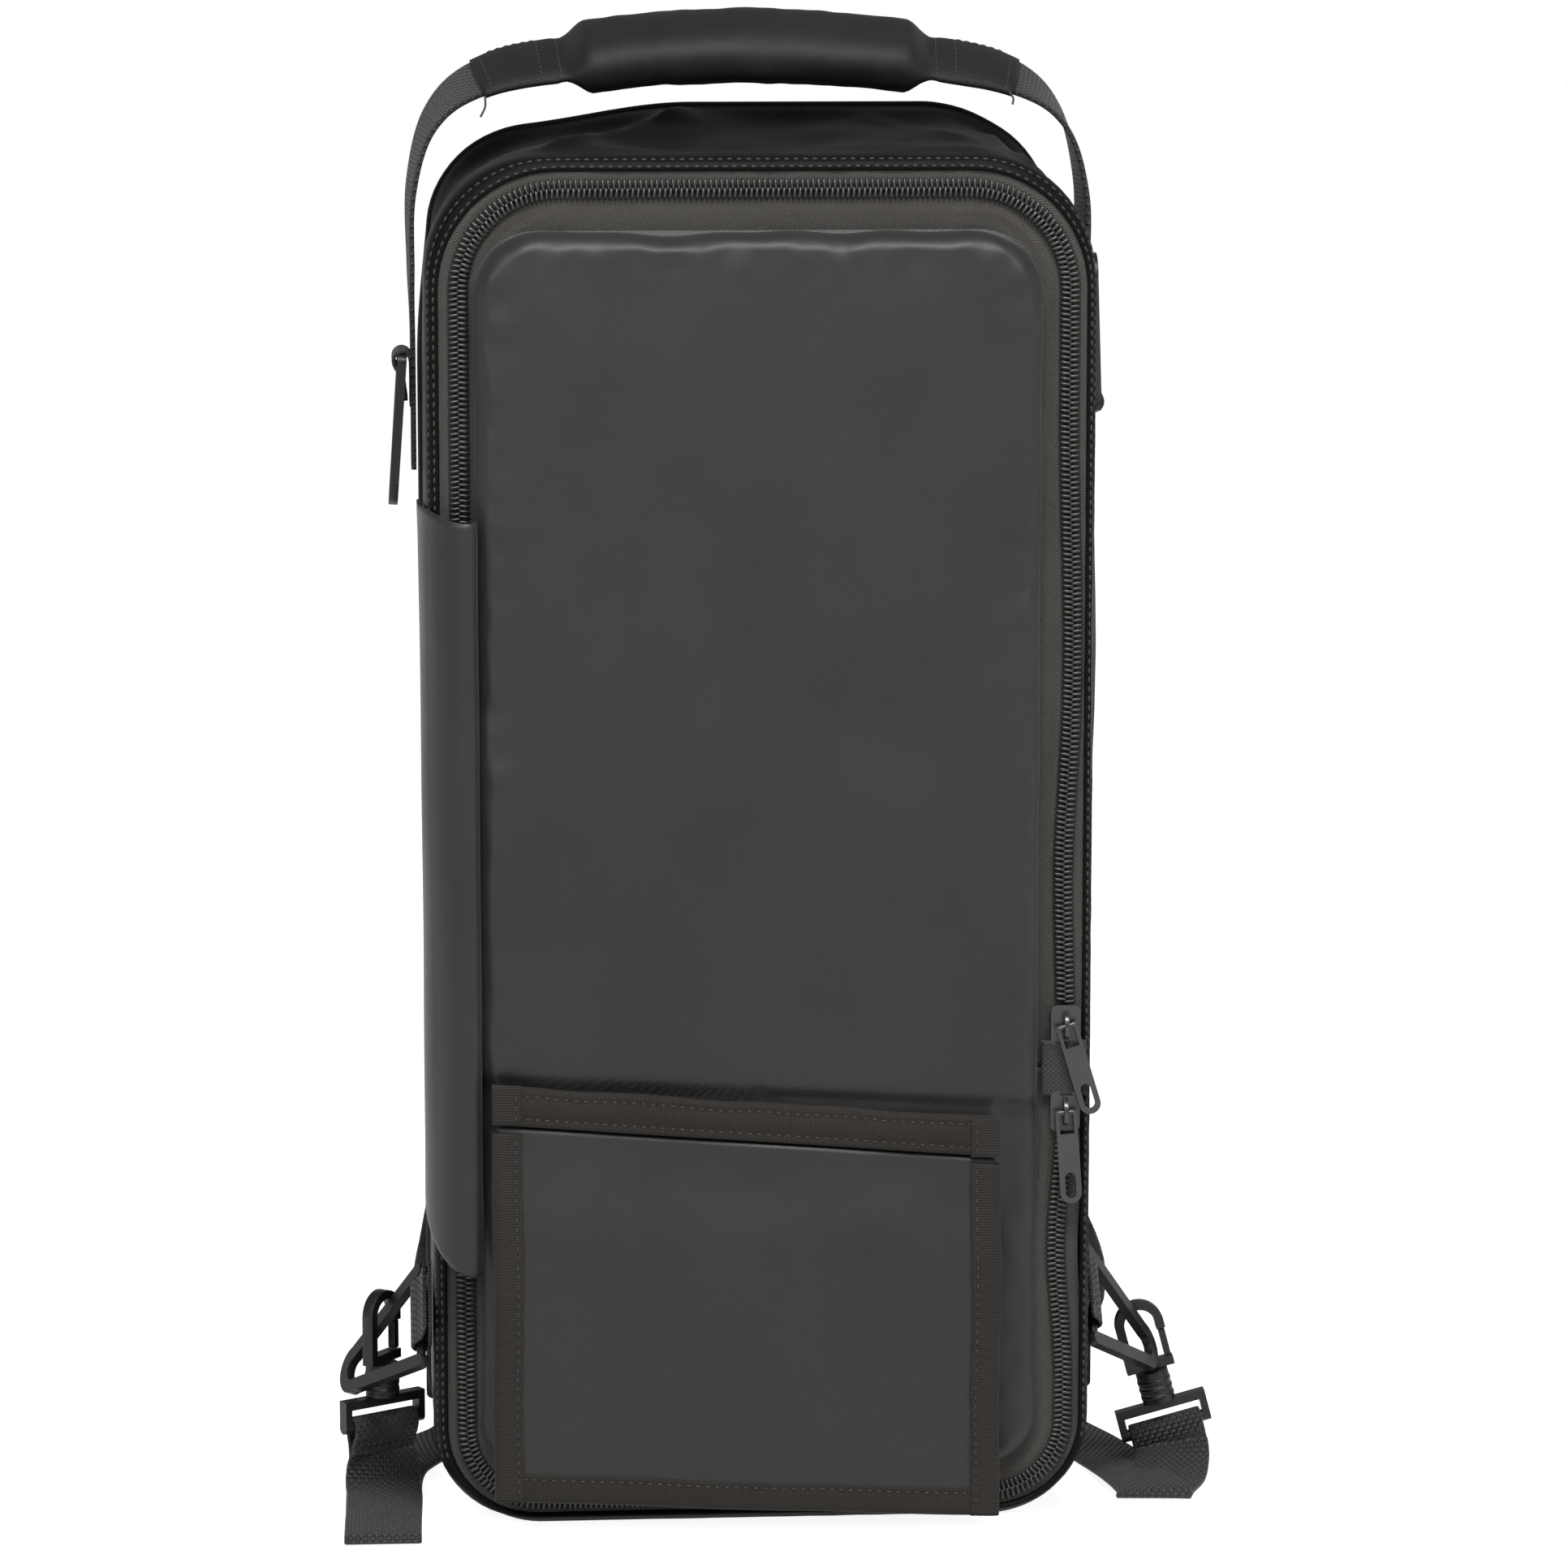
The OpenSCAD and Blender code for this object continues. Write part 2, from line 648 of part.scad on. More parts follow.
// Swivelling base with the webbing bar
module swivel() {
  difference() {
    translate([0, 0, -frame_top]) cylinder(r = barrel_r, h = barrel_len);
    translate([0, 0, -frame_top + 4.2]) cylinder(r = 2.5, h = barrel_len);
    translate([0, 0, -frame_top - 1]) cylinder(r = 3.8, h = 5.2);
  }
  translate([-frame_half, -2, -frame_top - 3]) cube([2 * frame_half, 4, 3]);
  for (side = [-1, 1])
    translate([side * (frame_half - frame_side / 2) - frame_side / 2, -2, -bar_drop])
      cube([frame_side, 4, bar_drop - frame_top]);
  translate([-frame_half, 0, -bar_drop]) rotate([0, 90, 0]) cylinder(r = hook_bar_r, h = 2 * frame_half);
}
hook_left_at = [-123, -5, 61];
hook_left_turn = 55;
hook_right_at = [131, 10.6, 49.2];
hook_right_tilt = 15;
swivel_left_turn = 33;
module at_left() {
  translate(hook_left_at) rotate([0, 0, hook_left_turn]) children();
}
module at_right() {
  translate(hook_right_at) rotate([0, -hook_right_tilt, 0]) children();
}
module hook_left() {
  color(plastic) at_left() hook();
}
module hook_right() {
  color(plastic) at_right() hook();
}
module gate_left() {
  color(plastic) at_left() gate();
}
module gate_right() {
  color(plastic) at_right() gate();
}
module swivel_left() {
  color(plastic) at_left() rotate([0, 0, swivel_left_turn - hook_left_turn]) swivel();
}
module swivel_right() {
  color(plastic) at_right() swivel();
}

// ---------- shoulder straps ----------

strap_t = 8;
panel_y = back_y + 2 * fabric + back_foam_t;
// Route of a padded strap down the back; side is -1 or 1, foot_x is where it ends
function strap_stops(side, foot_x) = [
  [side * 42, panel_y + strap_t / 2 + 0.3, 424, 52, 1, 0, 0],
  [side * 42, panel_y + strap_t / 2 + 0.3, 414, 52, 1, 0, 0],
  [side * 44, panel_y + strap_t / 2 + 1.6, 402, 52, 1, 0, 0],
  [side * 56, panel_y + 9, 368, 56, 1, 0, 0],
  [side * 77, panel_y + 14, 310, 56, 1, 0, 0],
  [side * 74, panel_y + 15, 240, 52, 1, 0, 0],
  [side * 72, panel_y + 13, 170, 48, 1, 0, 0],
  [side * 80, panel_y + 10, 112, 44, 1, 0, 0],
  [side * foot_x, panel_y + 9, 62, 38, 1, 0, 0],
  [side * foot_x, panel_y + 9, 46, 38, 1, 0, 0]];
left_foot = 92;
right_foot = 104;
module left_strap_cover() {
  color(dark) difference() {
    strap(strap_stops(-1, left_foot), strap_t);
    strap(strap_stops(-1, left_foot), strap_t, trim = 1, ends = -1);
  }
}
module right_strap_cover() {
  color(dark) difference() {
    strap(strap_stops(1, right_foot), strap_t);
    strap(strap_stops(1, right_foot), strap_t, trim = 1, ends = -1);
  }
}
module left_strap_foam() {
  color(foam_col) strap(strap_stops(-1, left_foot), strap_t, trim = 1);
}
module right_strap_foam() {
  color(foam_col) strap(strap_stops(1, right_foot), strap_t, trim = 1);
}

// Ladder lock, drawn with its sewn bar at the origin and hanging down
module ladder_lock() {
  slab(-2, 2) difference() {
    round_rect(-16, 16, -22, 2, 2, 2);
    translate([-13, -7]) square([26, 4.4]);
    translate([-13, -17.6]) square([26, 6]);
  }
}
lock_y = panel_y + 9;
lock_z = 38.5;
module ladder_lock_left() {
  color(plastic) translate([-left_foot, lock_y, lock_z]) ladder_lock();
}
module ladder_lock_right() {
  color(plastic) translate([right_foot, lock_y, lock_z]) ladder_lock();
}

// Adjusting webbing from the swivel's bar to the ladder lock, lying on the floor between
adjust_t = 1.4;
module left_adjust_webbing() {
  color(dark) strap([
    [-123, -5, 21.4, 25, 0.84, 0.54, 0], [-123, -6, 12, 25, 0.95, 0.3, 0], [-123, -10, 4.8, 25, 1, 0.1, 0],
    [-122.6, -20, 2.7, 25, 1, 0, 0], [-123, -45, 2.6, 25, 1, 0, 0], [-123.2, -64, 2.6, 25, 1, 0, 0],
    [-123.2, -65.2, 1.75, 25, 1, 0, 0], [-123.2, -64, 0.9, 25, 1, 0, 0], [-123, -40, 0.9, 25, 1, 0, 0],
    [-122, 10, 0.9, 25, 1, 0, 0], [-116, 32, 0.9, 25, 0.96, -0.28, 0], [-104, 52, 0.9, 25, 0.88, -0.48, 0],
    [-95.5, 64, 1.1, 25, 0.94, -0.34, 0], [-92.1, 73, 2.2, 25, 1, 0, 0], [-92, 76, 5.2, 25, 1, 0, 0],
    [-92, 72.5, 9.2, 25, 1, 0, 0], [-92, 62, 12.5, 25, 1, 0, 0]], adjust_t);
}
module right_adjust_webbing() {
  color(dark) strap([
    [141.2, 10.6, 10.2, 25, 1, 0, 0.27], [141.6, 4, 6, 25, 1, 0, 0.1], [139, -8, 1.8, 25, 1, -0.15, 0],
    [133.5, -21, 0.9, 25, 0.94, -0.3, 0], [131.2, -29, 0.9, 25, 0.98, -0.15, 0], [130.9, -32.6, 2.1, 25, 1, 0, 0],
    [130.8, -30, 3.3, 25, 1, 0, 0], [128, -12, 3, 25, 0.99, 0.13, 0], [123.5, 14, 1.1, 25, 0.98, 0.2, 0],
    [115.5, 40, 0.9, 25, 0.95, 0.3, 0], [107.5, 60, 1.1, 25, 0.94, 0.33, 0], [104.2, 71, 2.2, 25, 1, 0, 0],
    [104, 74, 5.2, 25, 1, 0, 0], [104, 71, 9.2, 25, 1, 0, 0], [104, 62, 12.5, 25, 1, 0, 0]], adjust_t);
}

gusset_wall();
back_outer();
back_foam();
back_lining();
back_piping();
base_patch();
base_board();
hinge_strip();
zip_patch();
upper_tape_body();
upper_coil_body();
lower_tape_body();
lower_coil_body();
stick_pocket();
stick_pocket_binding();
left_strap_cover();
right_strap_cover();
left_strap_foam();
right_strap_foam();
left_adjust_webbing();
right_adjust_webbing();
lower_tab_left();
lower_tab_right();
cover_outer();
cover_foam();
cover_lining();
upper_tape_cover();
upper_coil_cover();
lower_tape_cover();
lower_coil_cover();
accessory_pocket();
pocket_loop_tape();
flap_top_binding();
inner_pocket();
inner_pocket_binding();
flap_panel();
flap_edge_binding();
flap_hook_tape();
handle_webbing();
handle_foam();
handle_wrap();
upper_tab_left();
upper_tab_right();
upper_ring_left();
upper_ring_right();
lower_ring_left();
lower_ring_right();
hook_left();
hook_right();
gate_left();
gate_right();
swivel_left();
swivel_right();
upper_slider();
lower_slider();
upper_pull();
lower_pull();
ladder_lock_left();
ladder_lock_right();
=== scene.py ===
"""Looks for the backpack-style drum stick bag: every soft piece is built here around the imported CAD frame."""
import math
import bmesh
import bpy
import numpy as np
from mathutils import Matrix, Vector


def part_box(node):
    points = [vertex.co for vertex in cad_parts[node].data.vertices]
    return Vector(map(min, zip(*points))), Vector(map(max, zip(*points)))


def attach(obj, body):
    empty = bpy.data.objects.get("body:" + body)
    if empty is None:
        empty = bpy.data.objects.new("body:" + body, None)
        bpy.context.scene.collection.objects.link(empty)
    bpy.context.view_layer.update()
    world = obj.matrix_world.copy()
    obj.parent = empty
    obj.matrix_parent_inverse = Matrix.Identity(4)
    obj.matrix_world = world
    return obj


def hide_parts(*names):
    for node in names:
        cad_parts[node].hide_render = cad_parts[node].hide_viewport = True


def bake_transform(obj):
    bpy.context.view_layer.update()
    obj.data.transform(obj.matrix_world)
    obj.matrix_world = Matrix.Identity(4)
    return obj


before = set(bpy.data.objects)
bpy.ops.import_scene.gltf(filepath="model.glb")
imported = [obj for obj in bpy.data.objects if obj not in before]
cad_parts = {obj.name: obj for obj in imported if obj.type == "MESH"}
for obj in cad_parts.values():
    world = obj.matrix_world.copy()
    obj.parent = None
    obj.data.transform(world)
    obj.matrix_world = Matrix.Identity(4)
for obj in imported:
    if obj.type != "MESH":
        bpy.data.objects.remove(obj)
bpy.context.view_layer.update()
scene = bpy.context.scene
MM = 0.001
FRONT = np.array([0, -1.0, 0])


# ---------- reading the frame, in millimetres ----------

def box(node):
    """Lowest and highest corner of a CAD node."""
    lo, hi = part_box(node)
    return np.array(lo) / MM, np.array(hi) / MM


# ---------- curves and surfaces ----------

def smooth(t):
    t = np.clip(t, 0, 1)
    return t * t * (3 - 2 * t)


def bump(t):
    """1 at t = 0, falling to 0 at t = -1 and 1."""
    return smooth(1 - np.abs(t))


def bell(t):
    """1 at t = 0, fading out smoothly to both sides."""
    return np.exp(-t ** 2)


def unit(v):
    v = np.asarray(v, float)
    return v / np.maximum(np.linalg.norm(v, axis=-1, keepdims=True), 1e-9)


def waves(points, length, seed):
    """Soft random ripples, about -1 to 1, a given length apart."""
    random = np.random.default_rng(seed)
    count = 7
    heading = unit(random.normal(size=(count, 3)))
    rate = 2 * math.pi / length * random.uniform(0.6, 1.5, count)
    phase = random.uniform(0, 2 * math.pi, count)
    return np.sin(np.asarray(points) @ (heading * rate[:, None]).T + phase).mean(axis=-1) * 1.7


def run_length(line):
    """Distance along a line at each of its points."""
    steps = np.linalg.norm(np.diff(line[:, :3], axis=0), axis=1)
    return np.concatenate([[0], np.cumsum(steps)])


def resample(line, step):
    """The same line with its points evenly spaced, about step apart."""
    run = run_length(line)
    at = np.linspace(0, run[-1], max(int(round(run[-1] / step)), 2) + 1)
    return np.column_stack([np.interp(at, run, line[:, k]) for k in range(line.shape[1])])


def curve(stops, step=2.0):
    """Smooth line through the stops, evenly spaced; a stop may carry more numbers after its place."""
    stops = np.asarray(stops, float)
    reach = np.vstack([2 * stops[:1] - stops[1:2], stops, 2 * stops[-1:] - stops[-2:-1]])
    t = np.linspace(0, 1, 16, endpoint=False)[:, None]
    parts = []
    for a, b, c, d in zip(reach, reach[1:], reach[2:], reach[3:]):
        parts.append(0.5 * (2 * b + (c - a) * t + (2 * a - 5 * b + 4 * c - d) * t ** 2
                            + (3 * b - a - 3 * c + d) * t ** 3))
    return resample(np.vstack(parts + [stops[-1:]]), step)


def rounded(x0, x1, z0, z1, rt, rb, arc=14, across=70, up=150):
    """Closed rounded rectangle in X-Z from the middle of its foot; its count of points doesn't depend on its size."""
    def corner(cx, cz, r, start):
        a = np.radians(start + np.linspace(0, 90, arc + 1))
        return np.column_stack([cx + r * np.cos(a), cz + r * np.sin(a)])

    corners = [corner(x0 + rb, z0 + rb, rb, 180)[::-1], corner(x0 + rt, z1 - rt, rt, 90)[::-1],
               corner(x1 - rt, z1 - rt, rt, 0)[::-1], corner(x1 - rb, z0 + rb, rb, 270)[::-1]]
    middle = np.array([[(x0 + x1) / 2, z0]])
    stations = [middle] + corners + [middle]
    counts = [across // 2, up, across, up, across // 2]
    parts = []
    for i, count in enumerate(counts):
        p, q = stations[i][-1], stations[i + 1][0]
        if i:
            parts.append(stations[i])
        t = np.linspace(0, 1, count + 1)[:, None]
        parts.append((p + (q - p) * t)[0 if i == 0 else 1:-1])
    return np.vstack(parts)


def grid_faces(rows, cols, closed=False, loop=False):
    """Quads over rows of points; closed joins the last column to the first, loop the last row to the first."""
    count = cols if closed else cols - 1
    faces = []
    for i in range(rows if loop else rows - 1):
        a, b = i * cols, (i + 1) % rows * cols
        for j in range(count):
            k = (j + 1) % cols
            faces.append((a + j, a + k, b + k, b + j))
    return faces


def mesh_of(lo, hi, across, up, axis=2):
    """Even grid over a box seen from the front, or from above with axis 1."""
    return np.meshgrid(np.linspace(lo[0], hi[0], across), np.linspace(lo[axis], hi[axis], up))


def grid_normals(points):
    """Unit normals of a grid of points."""
    return unit(np.cross(np.gradient(points, axis=0), np.gradient(points, axis=1)))


def add_mesh(name, points, faces, material, weave=None, merge=False):
    """A smooth mesh. weave gives each point's place on the cloth in millimetres, for its pattern."""
    mesh = bpy.data.meshes.new(name)
    mesh.from_pydata((np.asarray(points, float).reshape(-1, 3) * MM).tolist(), [], faces)
    if weave is not None:
        weave = np.asarray(weave, float).reshape(len(mesh.vertices), -1)
        flat = np.zeros((len(mesh.vertices), 3), np.float32)
        flat[:, :weave.shape[1]] = weave
        mesh.attributes.new("weave", "FLOAT_VECTOR", "POINT").data.foreach_set("vector", flat.ravel())
    work = bmesh.new()
    work.from_mesh(mesh)
    if merge:
        bmesh.ops.remove_doubles(work, verts=work.verts, dist=0.00001)
    bmesh.ops.recalc_face_normals(work, faces=work.faces)
    work.to_mesh(mesh)
    work.free()
    mesh.polygons.foreach_set("use_smooth", [True] * len(mesh.polygons))
    mesh.materials.append(material)
    obj = bpy.data.objects.new(name, mesh)
    scene.collection.objects.link(obj)
    return obj


def place_on_cloth(along, across):
    """Weave of a grid of points, from its distances along the rows and across the columns."""
    return np.stack(np.broadcast_arrays(np.reshape(along, (-1, 1)), across), axis=-1)


def move_points(obj, place):
    """Moves each point of a piece to place(points), in millimetres."""
    points = place(np.array([v.co for v in obj.data.vertices]) / MM)
    obj.data.vertices.foreach_set("co", (points * MM).astype(np.float32).ravel())


def tube_faces(rows, sides):
    """Faces of a tube of rings with its ends closed."""
    ends = [tuple(range(sides))[::-1], tuple(range((rows - 1) * sides, rows * sides))]
    return grid_faces(rows, sides, True) + ends


def loft(name, rings, material, weave):
    """Skin over rings of points, with its ends closed."""
    return add_mesh(name, rings, tube_faces(*np.shape(rings)[:2]), material, weave)


def add_tubes(name, tubes, material):
    """One mesh of many tubes that have the same count of points."""
    tubes = np.array(tubes)
    rows, sides = tubes.shape[1:3]
    local = tube_faces(rows, sides)
    faces = [tuple(k * rows * sides + v for v in face) for k in range(len(tubes)) for face in local]
    return add_mesh(name, tubes, faces, material)


def slab(name, top, under, material, weave):
    """Solid between two grids of points, closed round its edges."""
    rows, cols = top.shape[:2]
    n = rows * cols
    faces = grid_faces(rows, cols)
    faces += [tuple(n + v for v in reversed(face)) for face in faces]
    edge = list(range(cols)) + [i * cols + cols - 1 for i in range(1, rows)]
    edge += [(rows - 1) * cols + j for j in range(cols - 2, -1, -1)] + [i * cols for i in range(rows - 2, 0, -1)]
    faces += [(a, n + a, n + b, b) for a, b in zip(edge, edge[1:] + edge[:1])]
    weave = np.asarray(weave, float).reshape(n, -1)
    return add_mesh(name, np.stack([top, under]), faces, material, np.vstack([weave, weave]))


def cloth(name, points, material, thick=1.0, weave=None):
    """Sheet of fabric with a real thickness; points is a grid on its face. Its weave follows X and Z by default."""
    weave = points[..., [0, 2]] if weave is None else weave
    return slab(name, points, points - grid_normals(points) * thick, material, weave)


def frames(path, across):
    """Unit directions along, across and out of a band that follows path."""
    along = unit(np.gradient(path, axis=0))
    out = unit(np.cross(along, np.broadcast_to(across, path.shape)))
    return along, unit(np.cross(out, along)), out


def flat_section(width, thick, spread):
    """Section of a flat band with half round edges, as [across, out] pairs."""
    r = thick / 2
    a = np.radians(np.linspace(-90, 90, 7))
    face = np.linspace(-1, 1, spread + 1)[1:-1] * (width / 2 - r)
    right = np.column_stack([width / 2 - r + r * np.cos(a), r * np.sin(a)])
    top = np.column_stack([face[::-1], np.full(len(face), r)])
    bottom = np.column_stack([face, np.full(len(face), -r)])
    return np.vstack([right, top, -right, bottom])


def round_section(r, sides=8):
    a = np.linspace(0, 2 * math.pi, sides, endpoint=False)
    return np.column_stack([r * np.cos(a), r * np.sin(a)])


def oval_section(sides, flat_x, flat_y):
    """Rounded box of size 2; the smaller a power, the squarer it is in that direction."""
    a = np.linspace(0, 2 * math.pi, sides, endpoint=False)
    x, y = np.cos(a), np.sin(a)
    return np.stack([np.sign(x) * np.abs(x) ** flat_x, np.sign(y) * np.abs(y) ** flat_y], axis=-1)


def sweep(path, across, section):
    """Rings of a section carried along path, and each point's place on the cloth."""
    _, side, out = frames(path, across)
    section = np.broadcast_to(section, (len(path),) + np.shape(section)[-2:])
    rings = path[:, None] + side[:, None] * section[..., :1] + out[:, None] * section[..., 1:]
    run = np.broadcast_to(run_length(path)[:, None], section.shape[:2])
    return rings, np.stack([run, section[..., 0]], axis=-1)


def band(name, path, across, width, thick, material, spread=8):
    """Flat band of webbing, tape or binding; width may change along it."""
    width = np.broadcast_to(width, (len(path),))
    section = np.stack([flat_section(w, thick, spread) for w in width])
    rings, weave = sweep(path, across, section)
    return loft(name, rings, material, weave)


def joined(name, objects):
    """One object made of several."""
    bpy.ops.object.select_all(action="DESELECT")
    for obj in objects:
        obj.select_set(True)
    bpy.context.view_layer.objects.active = objects[0]
    bpy.ops.object.join()
    objects[0].name = name
    objects[0].data.name = name
    return objects[0]


def stitch_row(name, line, normal, pitch=3.2, length=2.1, thick=0.32):
    """Row of single thread stitches lying on a surface along line, sunk a little into it."""
    line = np.asarray(line, float)
    run = run_length(line)
    normal = np.broadcast_to(normal, line.shape)

    def at(distance, values):
        return np.array([np.interp(distance, run, values[:, k]) for k in range(3)]).T

    t = np.linspace(-0.5, 0.5, 5)
    size = np.sqrt(np.clip(1 - (2 * t) ** 2, 0.05, 1))[:, None] * thick
    section = round_section(1, 6) * size[:, None]
    stitches = []
    for start in (np.arange(int(run[-1] / pitch)) + 0.5) * pitch:
        up = at(start, normal)
        centre = at(start + t * length, line) + up * (0.35 * size - 0.1)
        across = np.cross(up, at(start + 0.5, line) - at(start - 0.5, line))
        stitches.append(sweep(centre, across, section)[0])
    return add_tubes(name, stitches, THREAD)


# ---------- materials ----------

class Nodes:
    """Short way to write the node tree of a material or of the world."""

    def __init__(self, owner, output="Principled BSDF"):
        owner.use_nodes = True
        self.owner = owner
        self.tree = owner.node_tree
        self.shader = self.tree.nodes[output]

    def link(self, source, target):
        if isinstance(source, (int, float, tuple)):
            target.default_value = source
        else:
            self.tree.links.new(source, target)

    def add(self, kind, **values):
        """New node with values or links on its named inputs."""
        node = self.tree.nodes.new("ShaderNode" + kind)
        for name, value in values.items():
            self.link(value, node.inputs[name.replace("_", " ")])
        return node

    def set(self, **values):
        for name, value in values.items():
            self.link(value, self.shader.inputs[name.replace("_", " ")])

    def math(self, operation, a, b=0.0):
        node = self.add("Math")
        node.operation = operation
        for value, socket in zip((a, b), node.inputs):
            self.link(value, socket)
        return node.outputs[0]

    def place(self):
        """Across and along the cloth, in millimetres."""
        node = self.add("Attribute")
        node.attribute_name = "weave"
        split = self.add("SeparateXYZ", Vector=node.outputs["Vector"])
        return split.outputs[0], split.outputs[1]

    def noise(self, scale, detail=3.0):
        """Noise fixed to the piece, scale in lumps a metre."""
        where = self.add("TexCoord").outputs["Object"]
        return self.add("TexNoise", Vector=where, Scale=scale, Detail=detail, Roughness=0.55).outputs[0]

    def ramp(self, factor, low, high, start=0.3, end=0.7):
        node = self.add("ValToRGB", Fac=factor)
        for element, position, colour in zip(node.color_ramp.elements, (start, end), (low, high)):
            element.position = position
            element.color = (*colour, 1)
        return node.outputs[0]

    def range(self, factor, low, high, start=0.3, end=0.7):
        return self.add("MapRange", Value=factor, From_Min=start, From_Max=end, To_Min=low, To_Max=high).outputs[0]

    def bump(self, height, distance, strength=1.0, under=None):
        node = self.add("Bump", Distance=distance * MM, Strength=strength, Height=height)
        if under is not None:
            self.link(under, node.inputs["Normal"])
        return node.outputs[0]


def sine(n, value, pitch):
    return n.math("SINE", n.math("MULTIPLY", value, 2 * math.pi / pitch))


def ribs(n, value, pitch):
    """Round ribs a pitch apart."""
    return n.math("ABSOLUTE", n.math("SINE", n.math("MULTIPLY", value, math.pi / pitch)))


def basket(n, u, v, pitch_u, pitch_v):
    """Threads that pass over and under each other in turn."""
    both = n.math("MULTIPLY", sine(n, u, 2 * pitch_u), sine(n, v, 2 * pitch_v))
    over = n.math("GREATER_THAN", both, 0.0)
    first = n.math("MULTIPLY", over, ribs(n, u, pitch_u))
    second = n.math("MULTIPLY", n.math("SUBTRACT", 1.0, over), ribs(n, v, pitch_v))
    return n.math("ADD", first, second)


def herringbone(n, u, v, pitch, column):
    """Slanting threads whose slant turns at each column."""
    return ribs(n, n.math("ADD", u, n.math("PINGPONG", v, column)), pitch)


def grosgrain(n, u, v, pitch):
    return n.math("ADD", ribs(n, u, pitch), n.math("MULTIPLY", sine(n, v, 0.7), 0.12))


def fabric(name, colour, pattern, depth, rough=(0.5, 0.62), sheen=0.3, tone=0.16, strength=0.6, specular=0.45):
    """Woven cloth: pattern(nodes, u, v) is its weave, depth that weave's height in millimetres."""
    n = Nodes(bpy.data.materials.new(name))
    u, v = n.place()
    weave = pattern(n, u, v)
    mottle = n.noise(22, 4)
    dark = tuple(c * (1 - tone) for c in colour)
    light = tuple(c * (1 + tone) for c in colour)
    # Painted shade: the colour is darkened where the weave lies low, standing in for the shade between the threads.
    hollow = n.add("Mix")
    hollow.data_type = "RGBA"
    hollow.blend_type = "MULTIPLY"
    hollow.inputs["Factor"].default_value = 0.75
    n.link(n.ramp(mottle, dark, light), hollow.inputs["A"])
    n.link(n.ramp(weave, (0.45, 0.45, 0.45), (1, 1, 1), 0.0, 0.8), hollow.inputs["B"])
    crumple = n.bump(n.noise(160, 3), 0.12, 0.35)
    n.set(Base_Color=hollow.outputs["Result"], Roughness=n.range(mottle, *rough), Sheen_Weight=sheen,
          Sheen_Roughness=0.45, Specular_IOR_Level=specular,
          Normal=n.bump(weave, depth, strength, crumple))
    return n.owner


def moulded(name, colour, rough=(0.32, 0.45), grain=0.03, specular=0.5):
    """Injection moulded plastic or lacquered metal with a fine grain."""
    n = Nodes(bpy.data.materials.new(name))
    mottle = n.noise(90, 4)
    n.set(Base_Color=n.ramp(mottle, tuple(c * 0.8 for c in colour), tuple(c * 1.25 for c in colour)),
          Roughness=n.range(mottle, *rough), Specular_IOR_Level=specular,
          Normal=n.bump(n.noise(2600, 2), grain, 0.5))
    return n.owner


SATIN = fabric("satin", (0.0105, 0.0104, 0.0104), lambda n, u, v: basket(n, u, v, 0.34, 0.4), 0.05,
               rough=(0.44, 0.54), sheen=0.04, tone=0.12, strength=0.3, specular=0.27)
# Painted shade: a darker copy of the cover's satin, whose colour stands in for the shade on the upturned hood and
# gusset.
SHADED_SATIN = fabric("satin_painted_shade", (0.003, 0.003, 0.0031), lambda n, u, v: basket(n, u, v, 0.34, 0.4), 0.05,
                rough=(0.4, 0.5), sheen=0.005, tone=0.12, strength=0.3, specular=0.045)
GRIP = fabric("grip_satin", (0.0068, 0.0068, 0.007), lambda n, u, v: basket(n, u, v, 0.4, 0.4), 0.06,
              rough=(0.44, 0.54), sheen=0.02, tone=0.12, strength=0.5, specular=0.13)
LINING = fabric("lining", (0.012, 0.012, 0.0125), lambda n, u, v: basket(n, u, v, 0.5, 0.5), 0.08, sheen=0.1)
AIR_MESH = fabric("strap_fabric", (0.009, 0.009, 0.0092), lambda n, u, v: basket(n, u, v, 1.1, 0.8), 0.25,
                  rough=(0.65, 0.78), sheen=0.1)
BASE = fabric("base_fabric", (0.01, 0.01, 0.01), lambda n, u, v: basket(n, u, v, 0.7, 0.7), 0.15, sheen=0.1)
BINDING = fabric("grosgrain", (0.0135, 0.0115, 0.0098), lambda n, u, v: grosgrain(n, u, v, 0.85), 0.2,
                 rough=(0.62, 0.74), sheen=0.05, tone=0.14, strength=0.9, specular=0.12)
WEBBING = fabric("webbing", (0.0105, 0.0095, 0.0088), lambda n, u, v: basket(n, u, v, 1.5, 1.25), 0.6,
                 rough=(0.55, 0.68), sheen=0.06, tone=0.15, strength=0.95, specular=0.28)
ZIP_TAPE = fabric("zip_tape", (0.026, 0.0237, 0.0205), lambda n, u, v: herringbone(n, u, v, 0.95, 2.3), 0.2,
                  rough=(0.58, 0.7), sheen=0.08, tone=0.12, strength=0.9, specular=0.26)
PATCH_TAPE = fabric("patch_tape", (0.02, 0.0182, 0.0163), lambda n, u, v: basket(n, u, v, 0.8, 0.8), 0.2,
                    rough=(0.6, 0.7), sheen=0.08, tone=0.12, strength=0.9, specular=0.24)
PILE = fabric("hook_and_loop", (0.006, 0.006, 0.006), lambda n, u, v: basket(n, u, v, 1.3, 1.3), 0.5,
              rough=(0.8, 0.9), sheen=0.1)
THREAD = moulded("thread", (0.004, 0.0038, 0.0035), (0.6, 0.75), 0.02)
COIL = moulded("coil", (0.012, 0.012, 0.012), (0.36, 0.44), 0.01)
FITTING = moulded("zip_fitting", (0.013, 0.013, 0.013), (0.26, 0.36), 0.02)
PLASTIC = moulded("acetal", (0.0045, 0.0045, 0.0045), (0.34, 0.46), 0.03, specular=0.3)


def finish_piece(obj, body, slot, *nodes):
    """Puts a piece on its body and hides the CAD nodes it stands in for. slot is not used."""
    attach(obj, body)
    if nodes:
        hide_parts(*nodes)
    return obj


# ---------- sizes from the frame ----------

